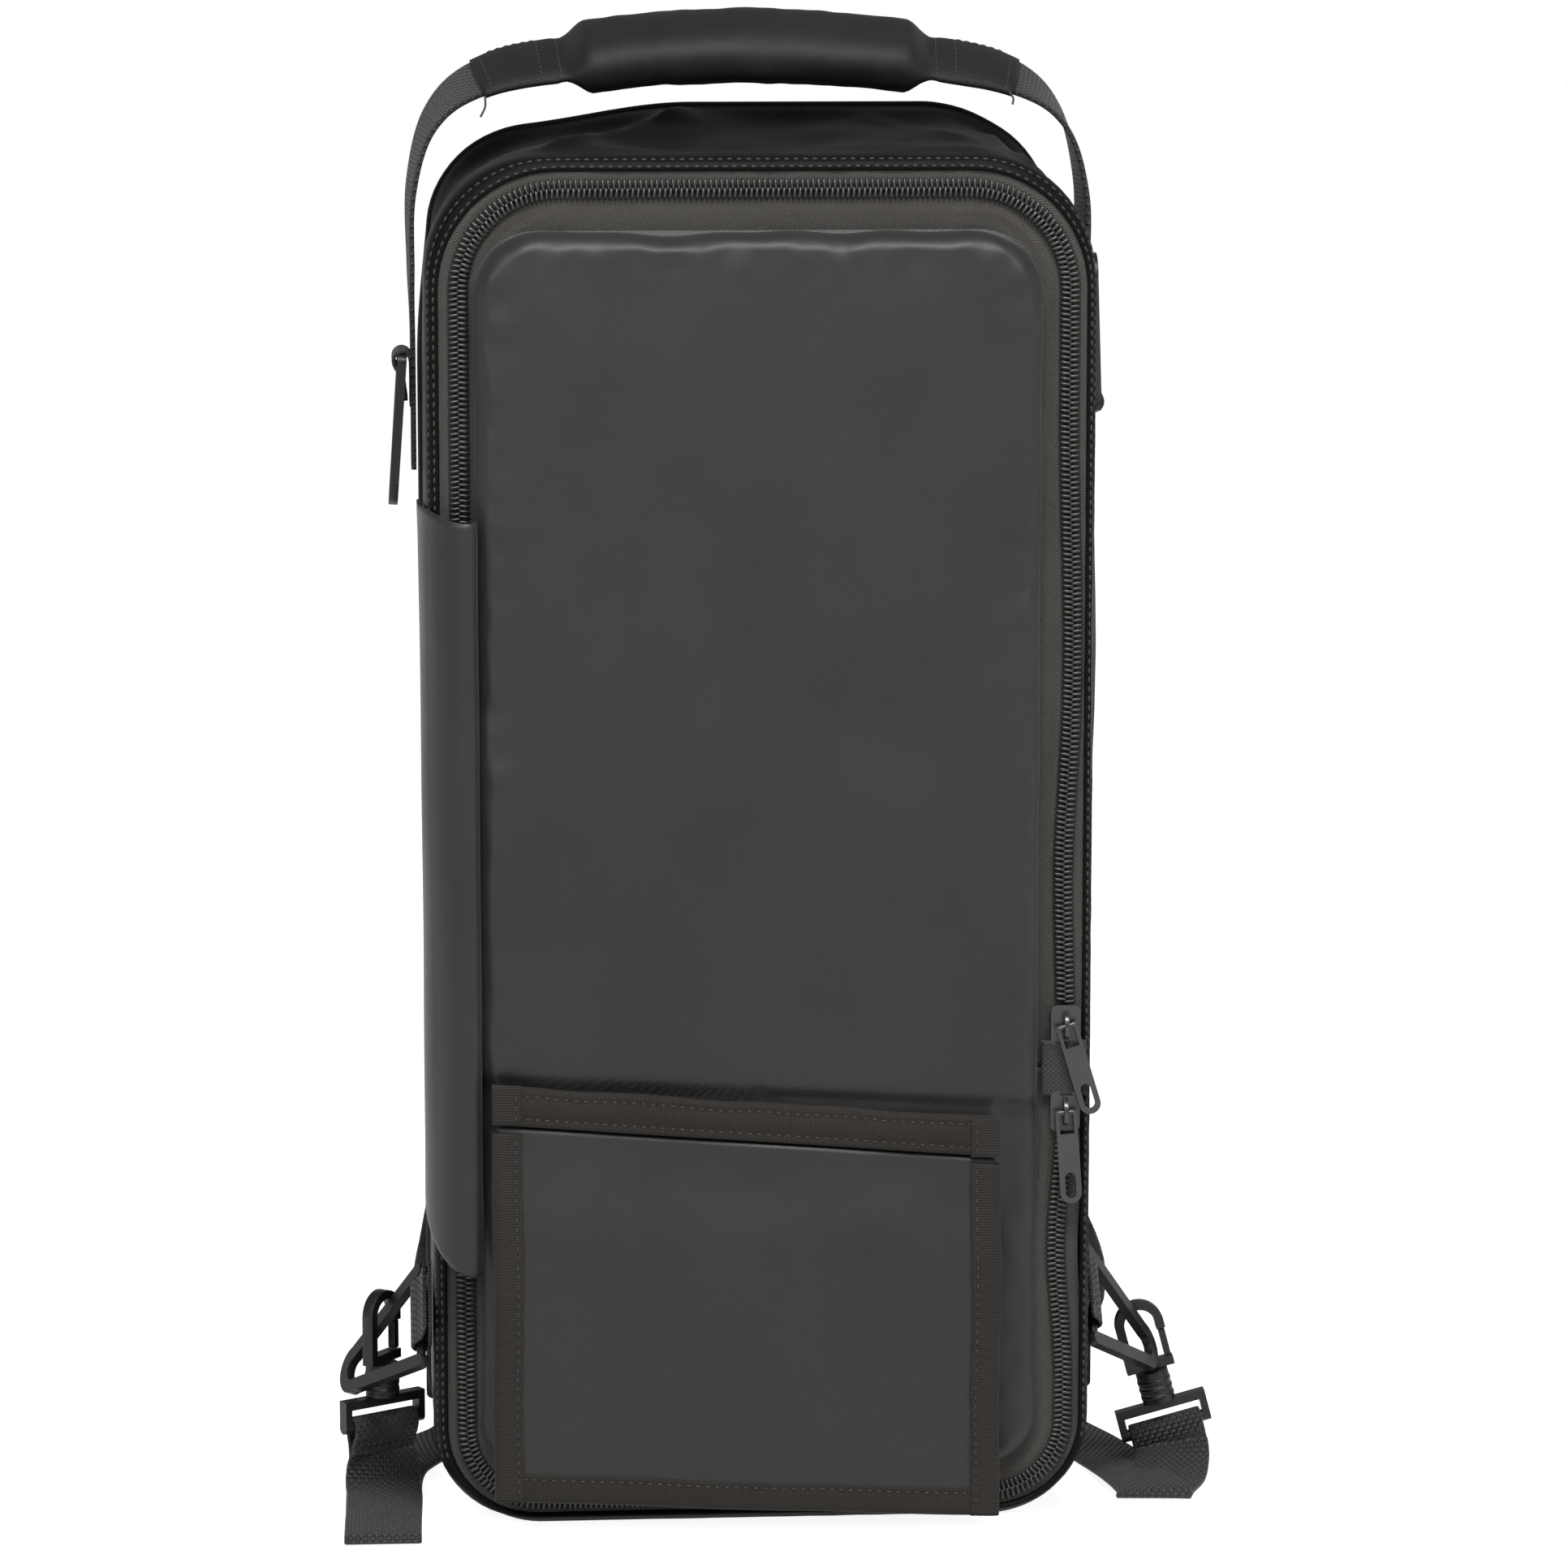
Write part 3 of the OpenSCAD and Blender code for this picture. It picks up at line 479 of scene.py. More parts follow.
gusset_lo, gusset_hi = box("gusset_wall")
COIL_HALF = 3.5
upper_lo, upper_hi = box("upper_coil_body")
lower_lo = box("lower_coil_body")[0]
chain_x0 = upper_lo[0] + COIL_HALF
chain_x1 = upper_hi[0] - COIL_HALF
chain_z0 = lower_lo[2] + COIL_HALF
chain_z1 = upper_hi[2] - COIL_HALF
CHAIN_TOP_RADIUS, CHAIN_FOOT_RADIUS = 32, 24
coil_front = upper_lo[1]
tape_front = upper_hi[1]
strip_lo, strip_hi = box("hinge_strip")
left_upper_z = strip_hi[2] - 5
left_lower_z = strip_lo[2] + 10
patch_lo, patch_hi = box("zip_patch")
patch_middle = (patch_lo[2] + patch_hi[2]) / 2
cover_lo, cover_hi = box("cover_outer")
lining_lo, lining_hi = box("cover_lining")
flap_lo, flap_hi = box("flap_panel")
edge_lo, edge_hi = box("flap_edge_binding")
top_hi = box("flap_top_binding")[1]
back_lo, back_hi = box("back_outer")
back_in_lo, back_in_hi = box("back_lining")


def settle(points):
    """The slack of the real bag: upper back corners lean in, the left side is drawn in, the hood sags."""
    p = np.array(points, float)
    x, y, z = p[..., 0].copy(), p[..., 1].copy(), p[..., 2].copy()
    depth = smooth((y - gusset_lo[1]) / (gusset_hi[1] - gusset_lo[1]))
    high = smooth((z - 372) / 75)
    p[..., 0] += depth * high * (4.5 * smooth(-x / 80) - 7.5 * smooth(x / 80))
    p[..., 2] -= depth * high * (8.0 * smooth((-x - 18) / 75) + 4.0 * smooth((x - 66) / 26))
    middle = bump((z - 185) / 150) * bump((y - 2) / 46)
    p[..., 0] += 4.0 * middle * smooth((-x - 80) / 24)
    return p


# ---------- stage, light and camera ----------

FLOOR_SIZE = 160  # metres, so that its edge lies on the horizon
FLOOR_GLOW = 0.9
FLOOR_DARK, FLOOR_LIGHT = (0.34, 0.34, 0.34), (0.36, 0.36, 0.36)


def add_stage():
    """White floor that still takes a faint shadow."""
    bpy.ops.mesh.primitive_plane_add(size=FLOOR_SIZE, location=(0, 0, 0))
    floor = bpy.context.object
    floor.name = "floor"
    n = Nodes(bpy.data.materials.new("floor"))
    n.set(Base_Color=n.ramp(n.noise(3, 2), FLOOR_DARK, FLOOR_LIGHT), Roughness=0.8, Specular_IOR_Level=0.05,
          Emission_Color=(1.0, 1.0, 1.0, 1.0), Emission_Strength=FLOOR_GLOW)
    floor.data.materials.append(n.owner)


def add_light(name, place, size, power):
    light = bpy.data.lights.new(name, "AREA")
    light.shape = "RECTANGLE"
    light.size, light.size_y = size
    light.energy = power
    obj = bpy.data.objects.new(name, light)
    scene.collection.objects.link(obj)
    obj.location = place
    obj.rotation_mode = "QUATERNION"
    obj.rotation_quaternion = (Vector(LIGHT_TARGET) - Vector(place)).to_track_quat("-Z", "Y")


LIGHT_TARGET = (0, 0, 0.24)
HORIZON_STRENGTH, ZENITH_STRENGTH, ZENITH_HEIGHT = 0.52, 0.2, 0.7
# Name, place in metres, width and height in metres, watts
LIGHTS = [("key", (-1.0, -1.8, 1.5), (1.1, 1.1), 30), ("fill", (1.6, -1.4, 0.9), (0.8, 1.4), 10),
          ("top", (0.15, -1.0, 1.9), (1.0, 0.6), 70)]


def add_world():
    """White surroundings that are brightest at the horizon."""
    world = bpy.data.worlds.new("studio")
    scene.world = world
    n = Nodes(world, "Background")
    height = n.add("SeparateXYZ", Vector=n.add("TexCoord").outputs["Generated"]).outputs[2]
    n.set(Color=(1.0, 1.0, 1.0, 1.0),
          Strength=n.range(height, HORIZON_STRENGTH, ZENITH_STRENGTH, 0.0, ZENITH_HEIGHT))


CAMERA_TARGET = np.array([10.6, 0, 236]) * MM
CAMERA_DISTANCE = 1.9
CAMERA_AZIMUTH, CAMERA_ELEVATION = math.radians(-4), math.radians(9)
LENS, SENSOR = 133, 36


def add_camera():
    level = math.cos(CAMERA_ELEVATION)
    back = np.array([math.sin(CAMERA_AZIMUTH) * level, -math.cos(CAMERA_AZIMUTH) * level,
                     math.sin(CAMERA_ELEVATION)])
    data = bpy.data.cameras.new("camera")
    data.lens = LENS
    data.sensor_width = SENSOR
    camera = bpy.data.objects.new("camera", data)
    scene.collection.objects.link(camera)
    camera.location = CAMERA_TARGET + back * CAMERA_DISTANCE
    camera.rotation_mode = "QUATERNION"
    camera.rotation_quaternion = Vector(-back).to_track_quat("-Z", "Y")
    scene.camera = camera


scene.view_settings.view_transform = "Standard"
add_camera()
add_stage()
add_world()
for light_row in LIGHTS:
    add_light(*light_row)


# ---------- gusset: sides, hood and bottom in one band of fabric ----------

# Stations from the turned-in front edge to the back: y, left, right, foot, top, top radius, foot radius
GUSSET_STATIONS = [
    [-42.4, -104.4, 106.0, 3.8, 440.8, 38, 29],
    [-43.7, -102.6, 104.6, 3.9, 439.4, 38, 29],
    [-44.6, -101.6, 103.8, 3.6, 438.4, 37, 29],
    [-45.5, -102.2, 104.3, 2.9, 439.0, 38, 29],
    [-45.4, -103.6, 105.6, 2.2, 440.4, 39, 30],
    [-43.6, -105.0, 106.5, 1.7, 442.2, 39, 30],
    [-39.0, -106.2, 107.0, 1.5, 443.4, 38, 30],
    [-26.0, -107.0, 107.0, 1.5, 444.6, 38, 30],
    [0.0, -107.0, 107.0, 1.5, 447.0, 36, 30],
    [24.0, -107.0, 107.0, 1.5, 450.6, 34, 30],
    [34.0, -106.8, 106.8, 1.7, 454.3, 31, 28],
    [38.4, -106.5, 106.5, 2.0, 455.5, 30, 28]]


def ridge(x, y, start, end, height, width):
    """Height of a sharp crease in the hood along a line from start to end, seen from above."""
    start, end = np.array(start, float), np.array(end, float)
    along = (end - start) / np.linalg.norm(end - start)
    dx, dy = x - start[0], y - start[1]
    t = (dx * along[0] + dy * along[1]) / np.linalg.norm(end - start)
    off = np.abs(dx * along[1] - dy * along[0])
    ends = smooth(np.clip(t / 0.25, 0, 1)) * smooth(np.clip((1 - t) / 0.2, 0, 1))
    return height * np.exp(-off / width) * ends


def gusset_surface():
    """Grid of the gusset's outside: one row for each depth, one column for each step round it."""
    rows = curve(GUSSET_STATIONS, 1.0)
    picked = np.unique(np.concatenate([np.arange(0, 22), np.arange(22, len(rows), 3), [len(rows) - 1]]))
    points = []
    for y, x0, x1, z0, z1, rt, rb in rows[picked]:
        ring = rounded(x0, x1, z0, z1, rt, rb)
        points.append(np.insert(ring, 1, y, axis=1))
    p = settle(np.array(points))
    x, y, z = p[..., 0], p[..., 1], p[..., 2]
    inside = smooth((y + 40) / 18) * smooth((40 - y) / 10)
    top = smooth((z - 425) / 12)
    side = smooth((np.abs(x) - 85) / 15) * (1 - top)
    crumple = ridge(x, y, (-74, -34), (-14, 40), 4.6, 7.0) + ridge(x, y, (78, 34), (92, -36), 3.6, 6.0)
    crumple += ridge(x, y, (30, 36), (74, -10), 1.6, 8.0)
    hollow = 2.6 * bump((x + 8) / 62) * bump((y + 6) / 34)
    p[..., 2] += top * inside * (crumple - hollow + 0.9 * waves(p, 38, 5))
    p[..., 0] -= np.sign(x) * side * inside * (0.5 + 0.75 * waves(p * [1, 1, 0.5], 70, 8) + 0.12 * waves(p, 26, 9))
    pucker = bump((y + 43) / 9)
    p[..., 1] += 0.22 * pucker * waves(p, 11, 12)
    return p


gusset_points = gusset_surface()


def add_gusset():
    p = gusset_points
    rows, cols = p.shape[:2]
    closed = np.concatenate([p, p[:, :1]], axis=1)
    run = np.stack([run_length(row) for row in closed])[:, :-1]
    deep = np.stack([run_length(p[:, j]) for j in range(cols)], axis=1)
    out = grid_normals(p)
    flip = np.sign(np.sum(out * (p - np.array([0, 0, 228])), axis=-1).mean())
    inner = p - out * flip * 1.4
    rings = np.concatenate([p, inner[::-1]])
    weave = np.stack([run, deep], axis=-1)
    weave = np.concatenate([weave, weave[::-1]])
    # The gusset wears the satin darkened with painted shade.
    obj = add_mesh("gusset", rings, grid_faces(2 * rows, cols, True, loop=True), SHADED_SATIN, weave)
    finish_piece(obj, "bag", "gusset_fabric", "gusset_wall")
    rows_of_stitches = []
    for k, row in enumerate((7, 10)):
        line = p[row]
        first = int(np.argmax(line[:, 2] > 20))
        line = resample(line[first:len(line) - first], 2.0)
        rows_of_stitches.append(stitch_row(f"gusset_stitch_{k}", line, FRONT, pitch=3.0, length=2.0, thick=0.4))
    stitches = joined("gusset_stitching", rows_of_stitches)
    finish_piece(stitches, "bag", "gusset_fabric")


add_gusset()


# ---------- padded panels ----------

def pad_rings(x0, x1, z0, z1, rt, rb, roll):
    """Rounded rectangles from the edge inwards: their points and how far in each one lies."""
    half = (x1 - x0) / 2
    step = 3.0
    turn = roll * (1 - np.cos(np.radians(np.linspace(0, 90, 10))))
    inward = np.concatenate([turn, np.arange(roll + step, half - 1, step), [half - 0.004]])
    rings = [rounded(x0 + d, x1 - d, z0 + d, z1 - d, max(rt - d, 0.8 * (1 - d / half) + 0.01),
                     max(rb - d, 0.8 * (1 - d / half) + 0.01)) for d in inward]
    return np.array(rings), inward


def pad(name, outline, roll, back_y, front, material, facing=-1):
    """Closed padded panel. front(x, z, d) is its thickness there, d being the distance from the edge."""
    rings, inward = pad_rings(*outline, roll)
    d = np.broadcast_to(inward[:, None], rings.shape[:2])
    thick = front(rings[..., 0], rings[..., 1], d)
    face = np.stack([rings[..., 0], back_y + facing * thick, rings[..., 1]], axis=-1)
    wall = [face[0] * [1, t, 1] + [0, back_y * (1 - t), 0] for t in (0.0, 0.33, 0.66)]
    rear = [np.insert(ring, 1, back_y, axis=1) for ring in rings[-1:8:-4]]
    grid = np.concatenate([np.array(rear), np.array(wall), face])
    rows, cols = grid.shape[:2]
    faces = grid_faces(rows, cols, True)
    return add_mesh(name, grid, faces, material, grid[..., [0, 2]], merge=True)


def shrunk_rings(ring, middle, y, shares):
    """The ring drawn in towards its middle, at one depth, once for each share."""
    return np.array([np.insert(middle + (ring - middle) * share, 1, y, axis=1) for share in shares])


def edge_roll(d, roll):
    """0 at a padded edge, rising as a quarter round to 1."""
    t = np.clip(1 - d / roll, 0, 1)
    return np.sqrt(np.clip(1 - t * t, 0, 1))


step_left, step_right = cover_lo[2] + 131.5, cover_lo[2] + 121
PAD_ROLL = 6.0
LOW_SHARE = 0.55  # the lower field's padding, as a share of the upper one's


def cover_thickness(x, z, d):
    """Thickness of the cover: thick padding above, a sewn step, thinner below and behind the flap."""
    across = (x - cover_lo[0]) / (cover_hi[0] - cover_lo[0])
    step = step_left + (step_right - step_left) * across
    full = lining_lo[1] - cover_lo[1]
    crown = 1.9 * smooth(d / 60) * smooth((z - step) / 60)
    upper = full + crown
    in_flap = smooth((x - flap_lo[0] + 12) / 5) * smooth((flap_hi[0] + 12 - x) / 5)
    lower = full * (LOW_SHARE + 0.28 * in_flap * smooth((z - step + 34) / 8))
    t = smooth((z - step + 1.2) / 2.4)
    rise = np.sqrt(np.clip(1 - (1 - np.clip((z - step) / 5.5, 0, 1)) ** 2, 0, 1))
    above = lower + (upper - lower) * (0.35 + 0.65 * rise)
    thick = lower * (1 - t) + above * t
    flat = np.stack([x, z, x * 0], axis=-1)
    ripple = 0.5 * waves(flat, 95, 21) * smooth(d / 30) + 0.22 * waves(flat, 34, 22)
    pucker = 0.85 * waves(flat, 12, 23) * bell((d - 6) / 6)
    groove = 0.8 * bell((z - step - 0.4) / 1.3)
    return (thick + ripple + pucker - groove) * (0.18 + 0.82 * edge_roll(d, PAD_ROLL))


def tug_cover_edge(co):
    """The sewn edge of the cover, pulled in unevenly at its top and sides."""
    near = np.minimum(np.minimum(co[:, 0] - cover_lo[0], cover_hi[0] - co[:, 0]), cover_hi[2] - co[:, 2])
    pull = bell(near / 7)
    co[:, 2] -= pull * smooth((co[:, 2] - 395) / 18) * (0.7 + 0.9 * waves(co * [1, 0, 0], 26, 24))
    co[:, 0] -= np.sign(co[:, 0]) * pull * (0.3 + 0.6 * waves(co * [0, 0, 1], 44, 25))
    return co


def add_cover():
    outline = (cover_lo[0], cover_hi[0], cover_lo[2], cover_hi[2], 20, 18)
    obj = pad("cover_pad", outline, PAD_ROLL, lining_lo[1], cover_thickness, SATIN)
    move_points(obj, tug_cover_edge)
    finish_piece(obj, "cover", "satin_fabric", "cover_outer", "cover_foam")
    middle = (cover_lo[[0, 2]] + cover_hi[[0, 2]]) / 2
    grid = shrunk_rings(rounded(*outline), middle, lining_hi[1] - 0.2, np.linspace(0.02, 1, 26))
    grid[..., 1] += 0.25 * waves(grid, 30, 31)
    back = grid[::-1].copy()
    back[..., 1] = lining_lo[1] + 0.05
    both = np.concatenate([grid, back])
    faces = grid_faces(len(both), both.shape[1], True)
    last = (len(both) - 1) * both.shape[1]
    faces += [tuple(range(both.shape[1])), tuple(range(last, last + both.shape[1]))[::-1]]
    lining = add_mesh("cover_lining_panel", both, faces, LINING, both[..., [0, 2]])
    finish_piece(lining, "cover", "lining", "cover_lining")


add_cover()


# ---------- zips ----------

def chain_line(zip_name, right_end):
    """Middle line of a zip, from its left end to right_end; it bows a little on the right, as a sewn zip does."""
    ring = rounded(chain_x0, chain_x1, chain_z0, chain_z1, CHAIN_TOP_RADIUS, CHAIN_FOOT_RADIUS, arc=24, across=90,
                   up=220)
    if zip_name == "lower":
        ring = np.roll(ring, len(ring) // 2, axis=0)[::-1]
    x, z = ring.T
    if zip_name == "upper":
        keep = z > np.where(x < 0, left_upper_z, right_end)
    else:
        keep = z < np.where(x < 0, left_lower_z, right_end)
    bow = 1.6 * bump((z - 285) / 76) - 2.6 * bump((z - 90) / 43) - 0.9 * bump((z - 214) / 49)
    line = np.column_stack([x + bow * smooth((x - 60) / 30), x * 0, z])
    return line[keep]


def outward(line):
    """Direction away from the bag's middle at each point of a line, in the line's own plane."""
    out = unit(np.cross(np.gradient(line, axis=0), [0, 1, 0]))
    return out * np.sign(np.sum(out * (line - [0, 0, 225]), axis=1).mean())


TOOTH_PITCH = 1.7


def add_teeth(name, line, side):
    """Coil half: one wire loop for each tooth. side is 1 outside the chain's middle and -1 inside it."""
    line = resample(line, TOOTH_PITCH)
    if side < 0:
        line = (line[1:] + line[:-1]) / 2
    along = unit(np.gradient(line, axis=0))
    # Wire path across the coil half: distance from the chain's middle, height, slant along the chain
    shape = np.array([[3.1, 0.25, -0.25], [3.45, 0.9, -0.2], [3.3, 1.75, -0.1], [2.6, 2.25, 0.0], [1.4, 2.35, 0.1],
                      [0.3, 2.2, 0.2], [-0.25, 1.6, 0.25], [-0.1, 0.8, 0.25]])
    shape *= [0.87, (tape_front - coil_front) / 2.98, 1]
    radius = np.array([0.44, 0.46, 0.46, 0.45, 0.45, 0.5, 0.52, 0.4])
    section = round_section(1, 6) * radius[:, None, None]
    teeth = []
    for place, away, forward in zip(line, outward(line), along):
        centre = place + away * side * shape[:, :1] + FRONT * shape[:, 1:2] + forward * shape[:, 2:]
        teeth.append(sweep(centre + [0, tape_front, 0], forward, section)[0])
    return add_tubes(name, teeth, COIL)


def add_tape(name, line, inner, outer, lift):
    """Woven tape between two distances from the chain's middle, lifted in front of the CAD plane."""
    line = resample(line, 2.0)
    across = np.linspace(inner, outer, max(int(abs(outer - inner) / 1.0), 4))
    grid = line + outward(line) * across[:, None, None]
    share = np.linspace(0, 1, len(across))[:, None]
    grid[..., 1] += tape_front - 0.25 - lift * np.sin(math.pi * share) + 0.18 * waves(grid, 16, 41)
    weave = np.stack(np.broadcast_arrays(run_length(line), across[:, None]), axis=-1)
    return cloth(name, grid, ZIP_TAPE, 0.7, weave)


def add_zip(zip_name, tape_end):
    upper = zip_name == "upper"
    coil_end = box(f"{zip_name}_coil_cover")[0 if upper else 1][2]
    coil_line = chain_line(zip_name, coil_end)
    tape_line = chain_line(zip_name, tape_end)
    inside_line = chain_line(zip_name, patch_middle - 1.5 if upper else patch_middle)
    for half, body, side in (("body", "bag", 1), ("cover", "cover", -1)):
        teeth = add_teeth(f"{zip_name}_teeth_{half}", coil_line, side)
        finish_piece(teeth, body, "zip_hardware", f"{zip_name}_coil_{half}")
    for name, half, body, line, inner, outer, lift in (("outside", "body", "bag", tape_line, 0.5, 7.4, 0.1),
                                                       ("inside", "cover", "cover", inside_line, -0.5, -16.5, 0.5)):
        tape = add_tape(f"{zip_name}_tape_{name}", line, inner, outer, lift)
        finish_piece(tape, body, "zip_tape", f"{zip_name}_tape_{half}")


add_zip("upper", patch_hi[2])
add_zip("lower", patch_lo[2])


def add_zip_patch():
    """Square of tape sewn over the ends of both zips."""
    gx, gz = mesh_of(patch_lo - [1, 0, 1.5], patch_hi + [-0.5, 0, 1.5], 16, 20)
    share = np.linspace(0, 1, 16)
    grid = np.stack([gx, patch_lo[1] - 0.6 * np.sin(math.pi * share) + gx * 0, gz], axis=-1)
    grid[..., 1] += 0.2 * waves(grid, 9, 51)
    finish_piece(cloth("zip_patch_tape", grid, PATCH_TAPE, 1.6), "bag", "zip_tape", "zip_patch")


add_zip_patch()


# ---------- fabric hinge on the left ----------

def add_hinge_strip():
    profile = curve([[-107.9, -16], [-107.8, -30], [-106.6, -41], [-103.6, -49], [-99.6, -54.2], [-96.6, -56.4],
                     [-93.6, -57.3], [-91.6, -56.2], [-90.9, -52.6]], 1.0)
    u = np.linspace(0, 1, len(profile))
    top = strip_hi[2] + 6.5 - 3.5 * smooth((u - 0.5) / 0.4)
    foot = strip_lo[2] + 4 + 24 * (1 - smooth((u - 0.12) / 0.8))
    v = np.linspace(0, 1, 130)[:, None]
    z = foot + (top - foot) * v
    grid = np.stack([np.broadcast_to(profile[:, 0], z.shape), np.broadcast_to(profile[:, 1], z.shape), z], axis=-1)
    grid = settle(grid)
    middle = smooth(v / 0.08) * smooth((1 - v) / 0.06)
    crease = bell((u - 0.62 - 0.03 * np.sin(5 * v)) / 0.05)
    grid[..., 1] += middle * (1.1 * crease + 0.35 * waves(grid * [1, 1, 0.35], 24, 61))
    grid[..., 0] -= middle * (0.45 * crease + 0.3 * waves(grid * [1, 1, 0.3], 30, 62))
    run = np.broadcast_to(run_length(profile), z.shape)
    obj = cloth("hinge_strip_fabric", grid, SATIN, 1.0, np.stack([z, run], axis=-1))
    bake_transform(obj)
    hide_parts("hinge_strip")
    out = -grid_normals(grid)
    if out[60, 3, 0] > 0:
        out = -out
    for k, row in enumerate((3, -4)):
        line = stitch_row(f"hinge_strip_stitch_{k}", grid[row], out[row], pitch=3.0, length=1.9)
        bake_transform(line)


add_hinge_strip()


# ---------- accessory pocket and flap ----------

BINDING_WIDTH = 9.5
flap_x0, flap_x1 = edge_lo[0], edge_hi[0]
hinge_left, hinge_right = edge_hi[2], edge_hi[2] - 13
foot_left, foot_right = edge_lo[2] + 8.5, edge_lo[2]


def flap_point(u, v):
    """Front of the flap: u from left to right, v from the hinge to the foot. The pocket behind fills it out."""
    u, v = np.broadcast_arrays(np.asarray(u, float), np.asarray(v, float))
    top = hinge_left + (hinge_right - hinge_left) * u
    foot = foot_left + (foot_right - foot_left) * u
    x = flap_x0 + (flap_x1 - flap_x0) * u
    z = top + (foot - top) * v
    fill = 0.35 + 0.65 * np.sqrt(np.clip(np.sin(math.pi * np.clip(u, 0, 1)), 0, 1))
    bulge = 6.2 * smooth(v / 0.32) * (1 - 0.62 * smooth((v - 0.25) / 0.75)) * fill
    y = edge_lo[1] + 0.4 - bulge
    p = np.stack([x, y, z], axis=-1)
    flat = p * [1, 0, 1]
    p[..., 1] += 0.45 * waves(flat, 70, 71) * smooth(v / 0.1) + 0.12 * waves(flat, 22, 72) * smooth(v / 0.05)
    p[..., 0] += 0.35 * waves(flat * [0, 0, 1], 60, 73) * smooth(v / 0.1)
    p[..., 2] += 0.5 * waves(flat * [1, 0, 0], 55, 74) * smooth(v / 0.6)
    return p


def trim_stitches(name, line):
    """Stitches through a binding on the bag's front."""
    return stitch_row(name, line, FRONT, pitch=3.1, length=1.9, thick=0.42)


def edge_strip(name, start, end, raise_by=0.0):
    """Grosgrain folded over a flap edge, with its stitches. start and end are [u, v] corners."""
    t = np.linspace(0, 1, 90)
    u = start[0] + (end[0] - start[0]) * t
    v = start[1] + (end[1] - start[1]) * t
    width_u = BINDING_WIDTH / (flap_x1 - flap_x0)
    width_v = BINDING_WIDTH / (hinge_left - foot_left)
    upright = start[0] == end[0]
    inward = np.array([width_u if start[0] < 0.5 else -width_u, 0]) if upright else np.array([0, -width_v])
    # Section of the folded binding: share of its width from the edge inwards, and depth at each share
    shares = np.array([-0.02, 0.0, 0.06, 0.3, 0.55, 0.72, 0.8, 0.88, 0.97, 1.0, 0.97, 0.6, 0.3, 0.06, 0.0])
    wavy = 0.03 * waves(np.column_stack([t * 120, t * 0, t * 0]), 17, 75)
    height = np.array([0.6, -0.3, -0.8, -0.95, -0.95, -0.9, -0.55, -0.9, -0.75, 0.0, 2.4, 2.6, 2.6, 2.5, 1.8])
    height[:10] -= raise_by
    rings = []
    for share, lift in zip(shares, height):
        s = share + (wavy if share > 0.9 else 0)
        ring = flap_point(u + inward[0] * s, v + inward[1] * s)
        ring[:, 1] += lift
        rings.append(ring)
    rings = np.stack(rings, axis=1)
    obj = loft(name, rings, BINDING, place_on_cloth(run_length(rings[:, 0]), shares * BINDING_WIDTH))
    line = flap_point(u + inward[0] * 0.8, v + inward[1] * 0.8)[1:-1]
    line[:, 1] -= 0.62 + raise_by
    threads = trim_stitches(name + "_stitches", line)
    finish_piece(threads, "flap", "binding")
    return finish_piece(obj, "flap", "binding")


def add_pile_patch(name, node, body, shift):
    """Hook-and-loop tape in the place of its CAD node, shifted a little in depth."""
    lo, hi = box(node)
    middle = curve([[x, lo[1] + shift, (lo[2] + hi[2]) / 2] for x in (lo[0], hi[0])], 3)
    finish_piece(band(name, middle, [0, 0, 1], hi[2] - lo[2], 0.9, PILE), body, "hook_and_loop", node)


def add_flap():
    u = np.linspace(0.01, 0.99, 90)[None, :]
    v = np.linspace(0.004, 0.985, 76)[:, None]
    grid = flap_point(u, v)
    grid[..., 1] -= 0.35
    panel = cloth("flap_face", grid, SATIN, 2.2)
    finish_piece(panel, "flap", "satin_fabric", "flap_panel")
    foot = edge_strip("flap_binding_foot", (0.0, 1.0), (1.0, 1.0))
    for side, u_side in (("left", 0.0), ("right", 1.0)):
        edge_strip(f"flap_binding_{side}", (u_side, 0.018), (u_side, 1.0), raise_by=0.45)
    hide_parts("flap_edge_binding")
    add_pile_patch("flap_hook_patch", "flap_hook_tape", "flap", 0.2)


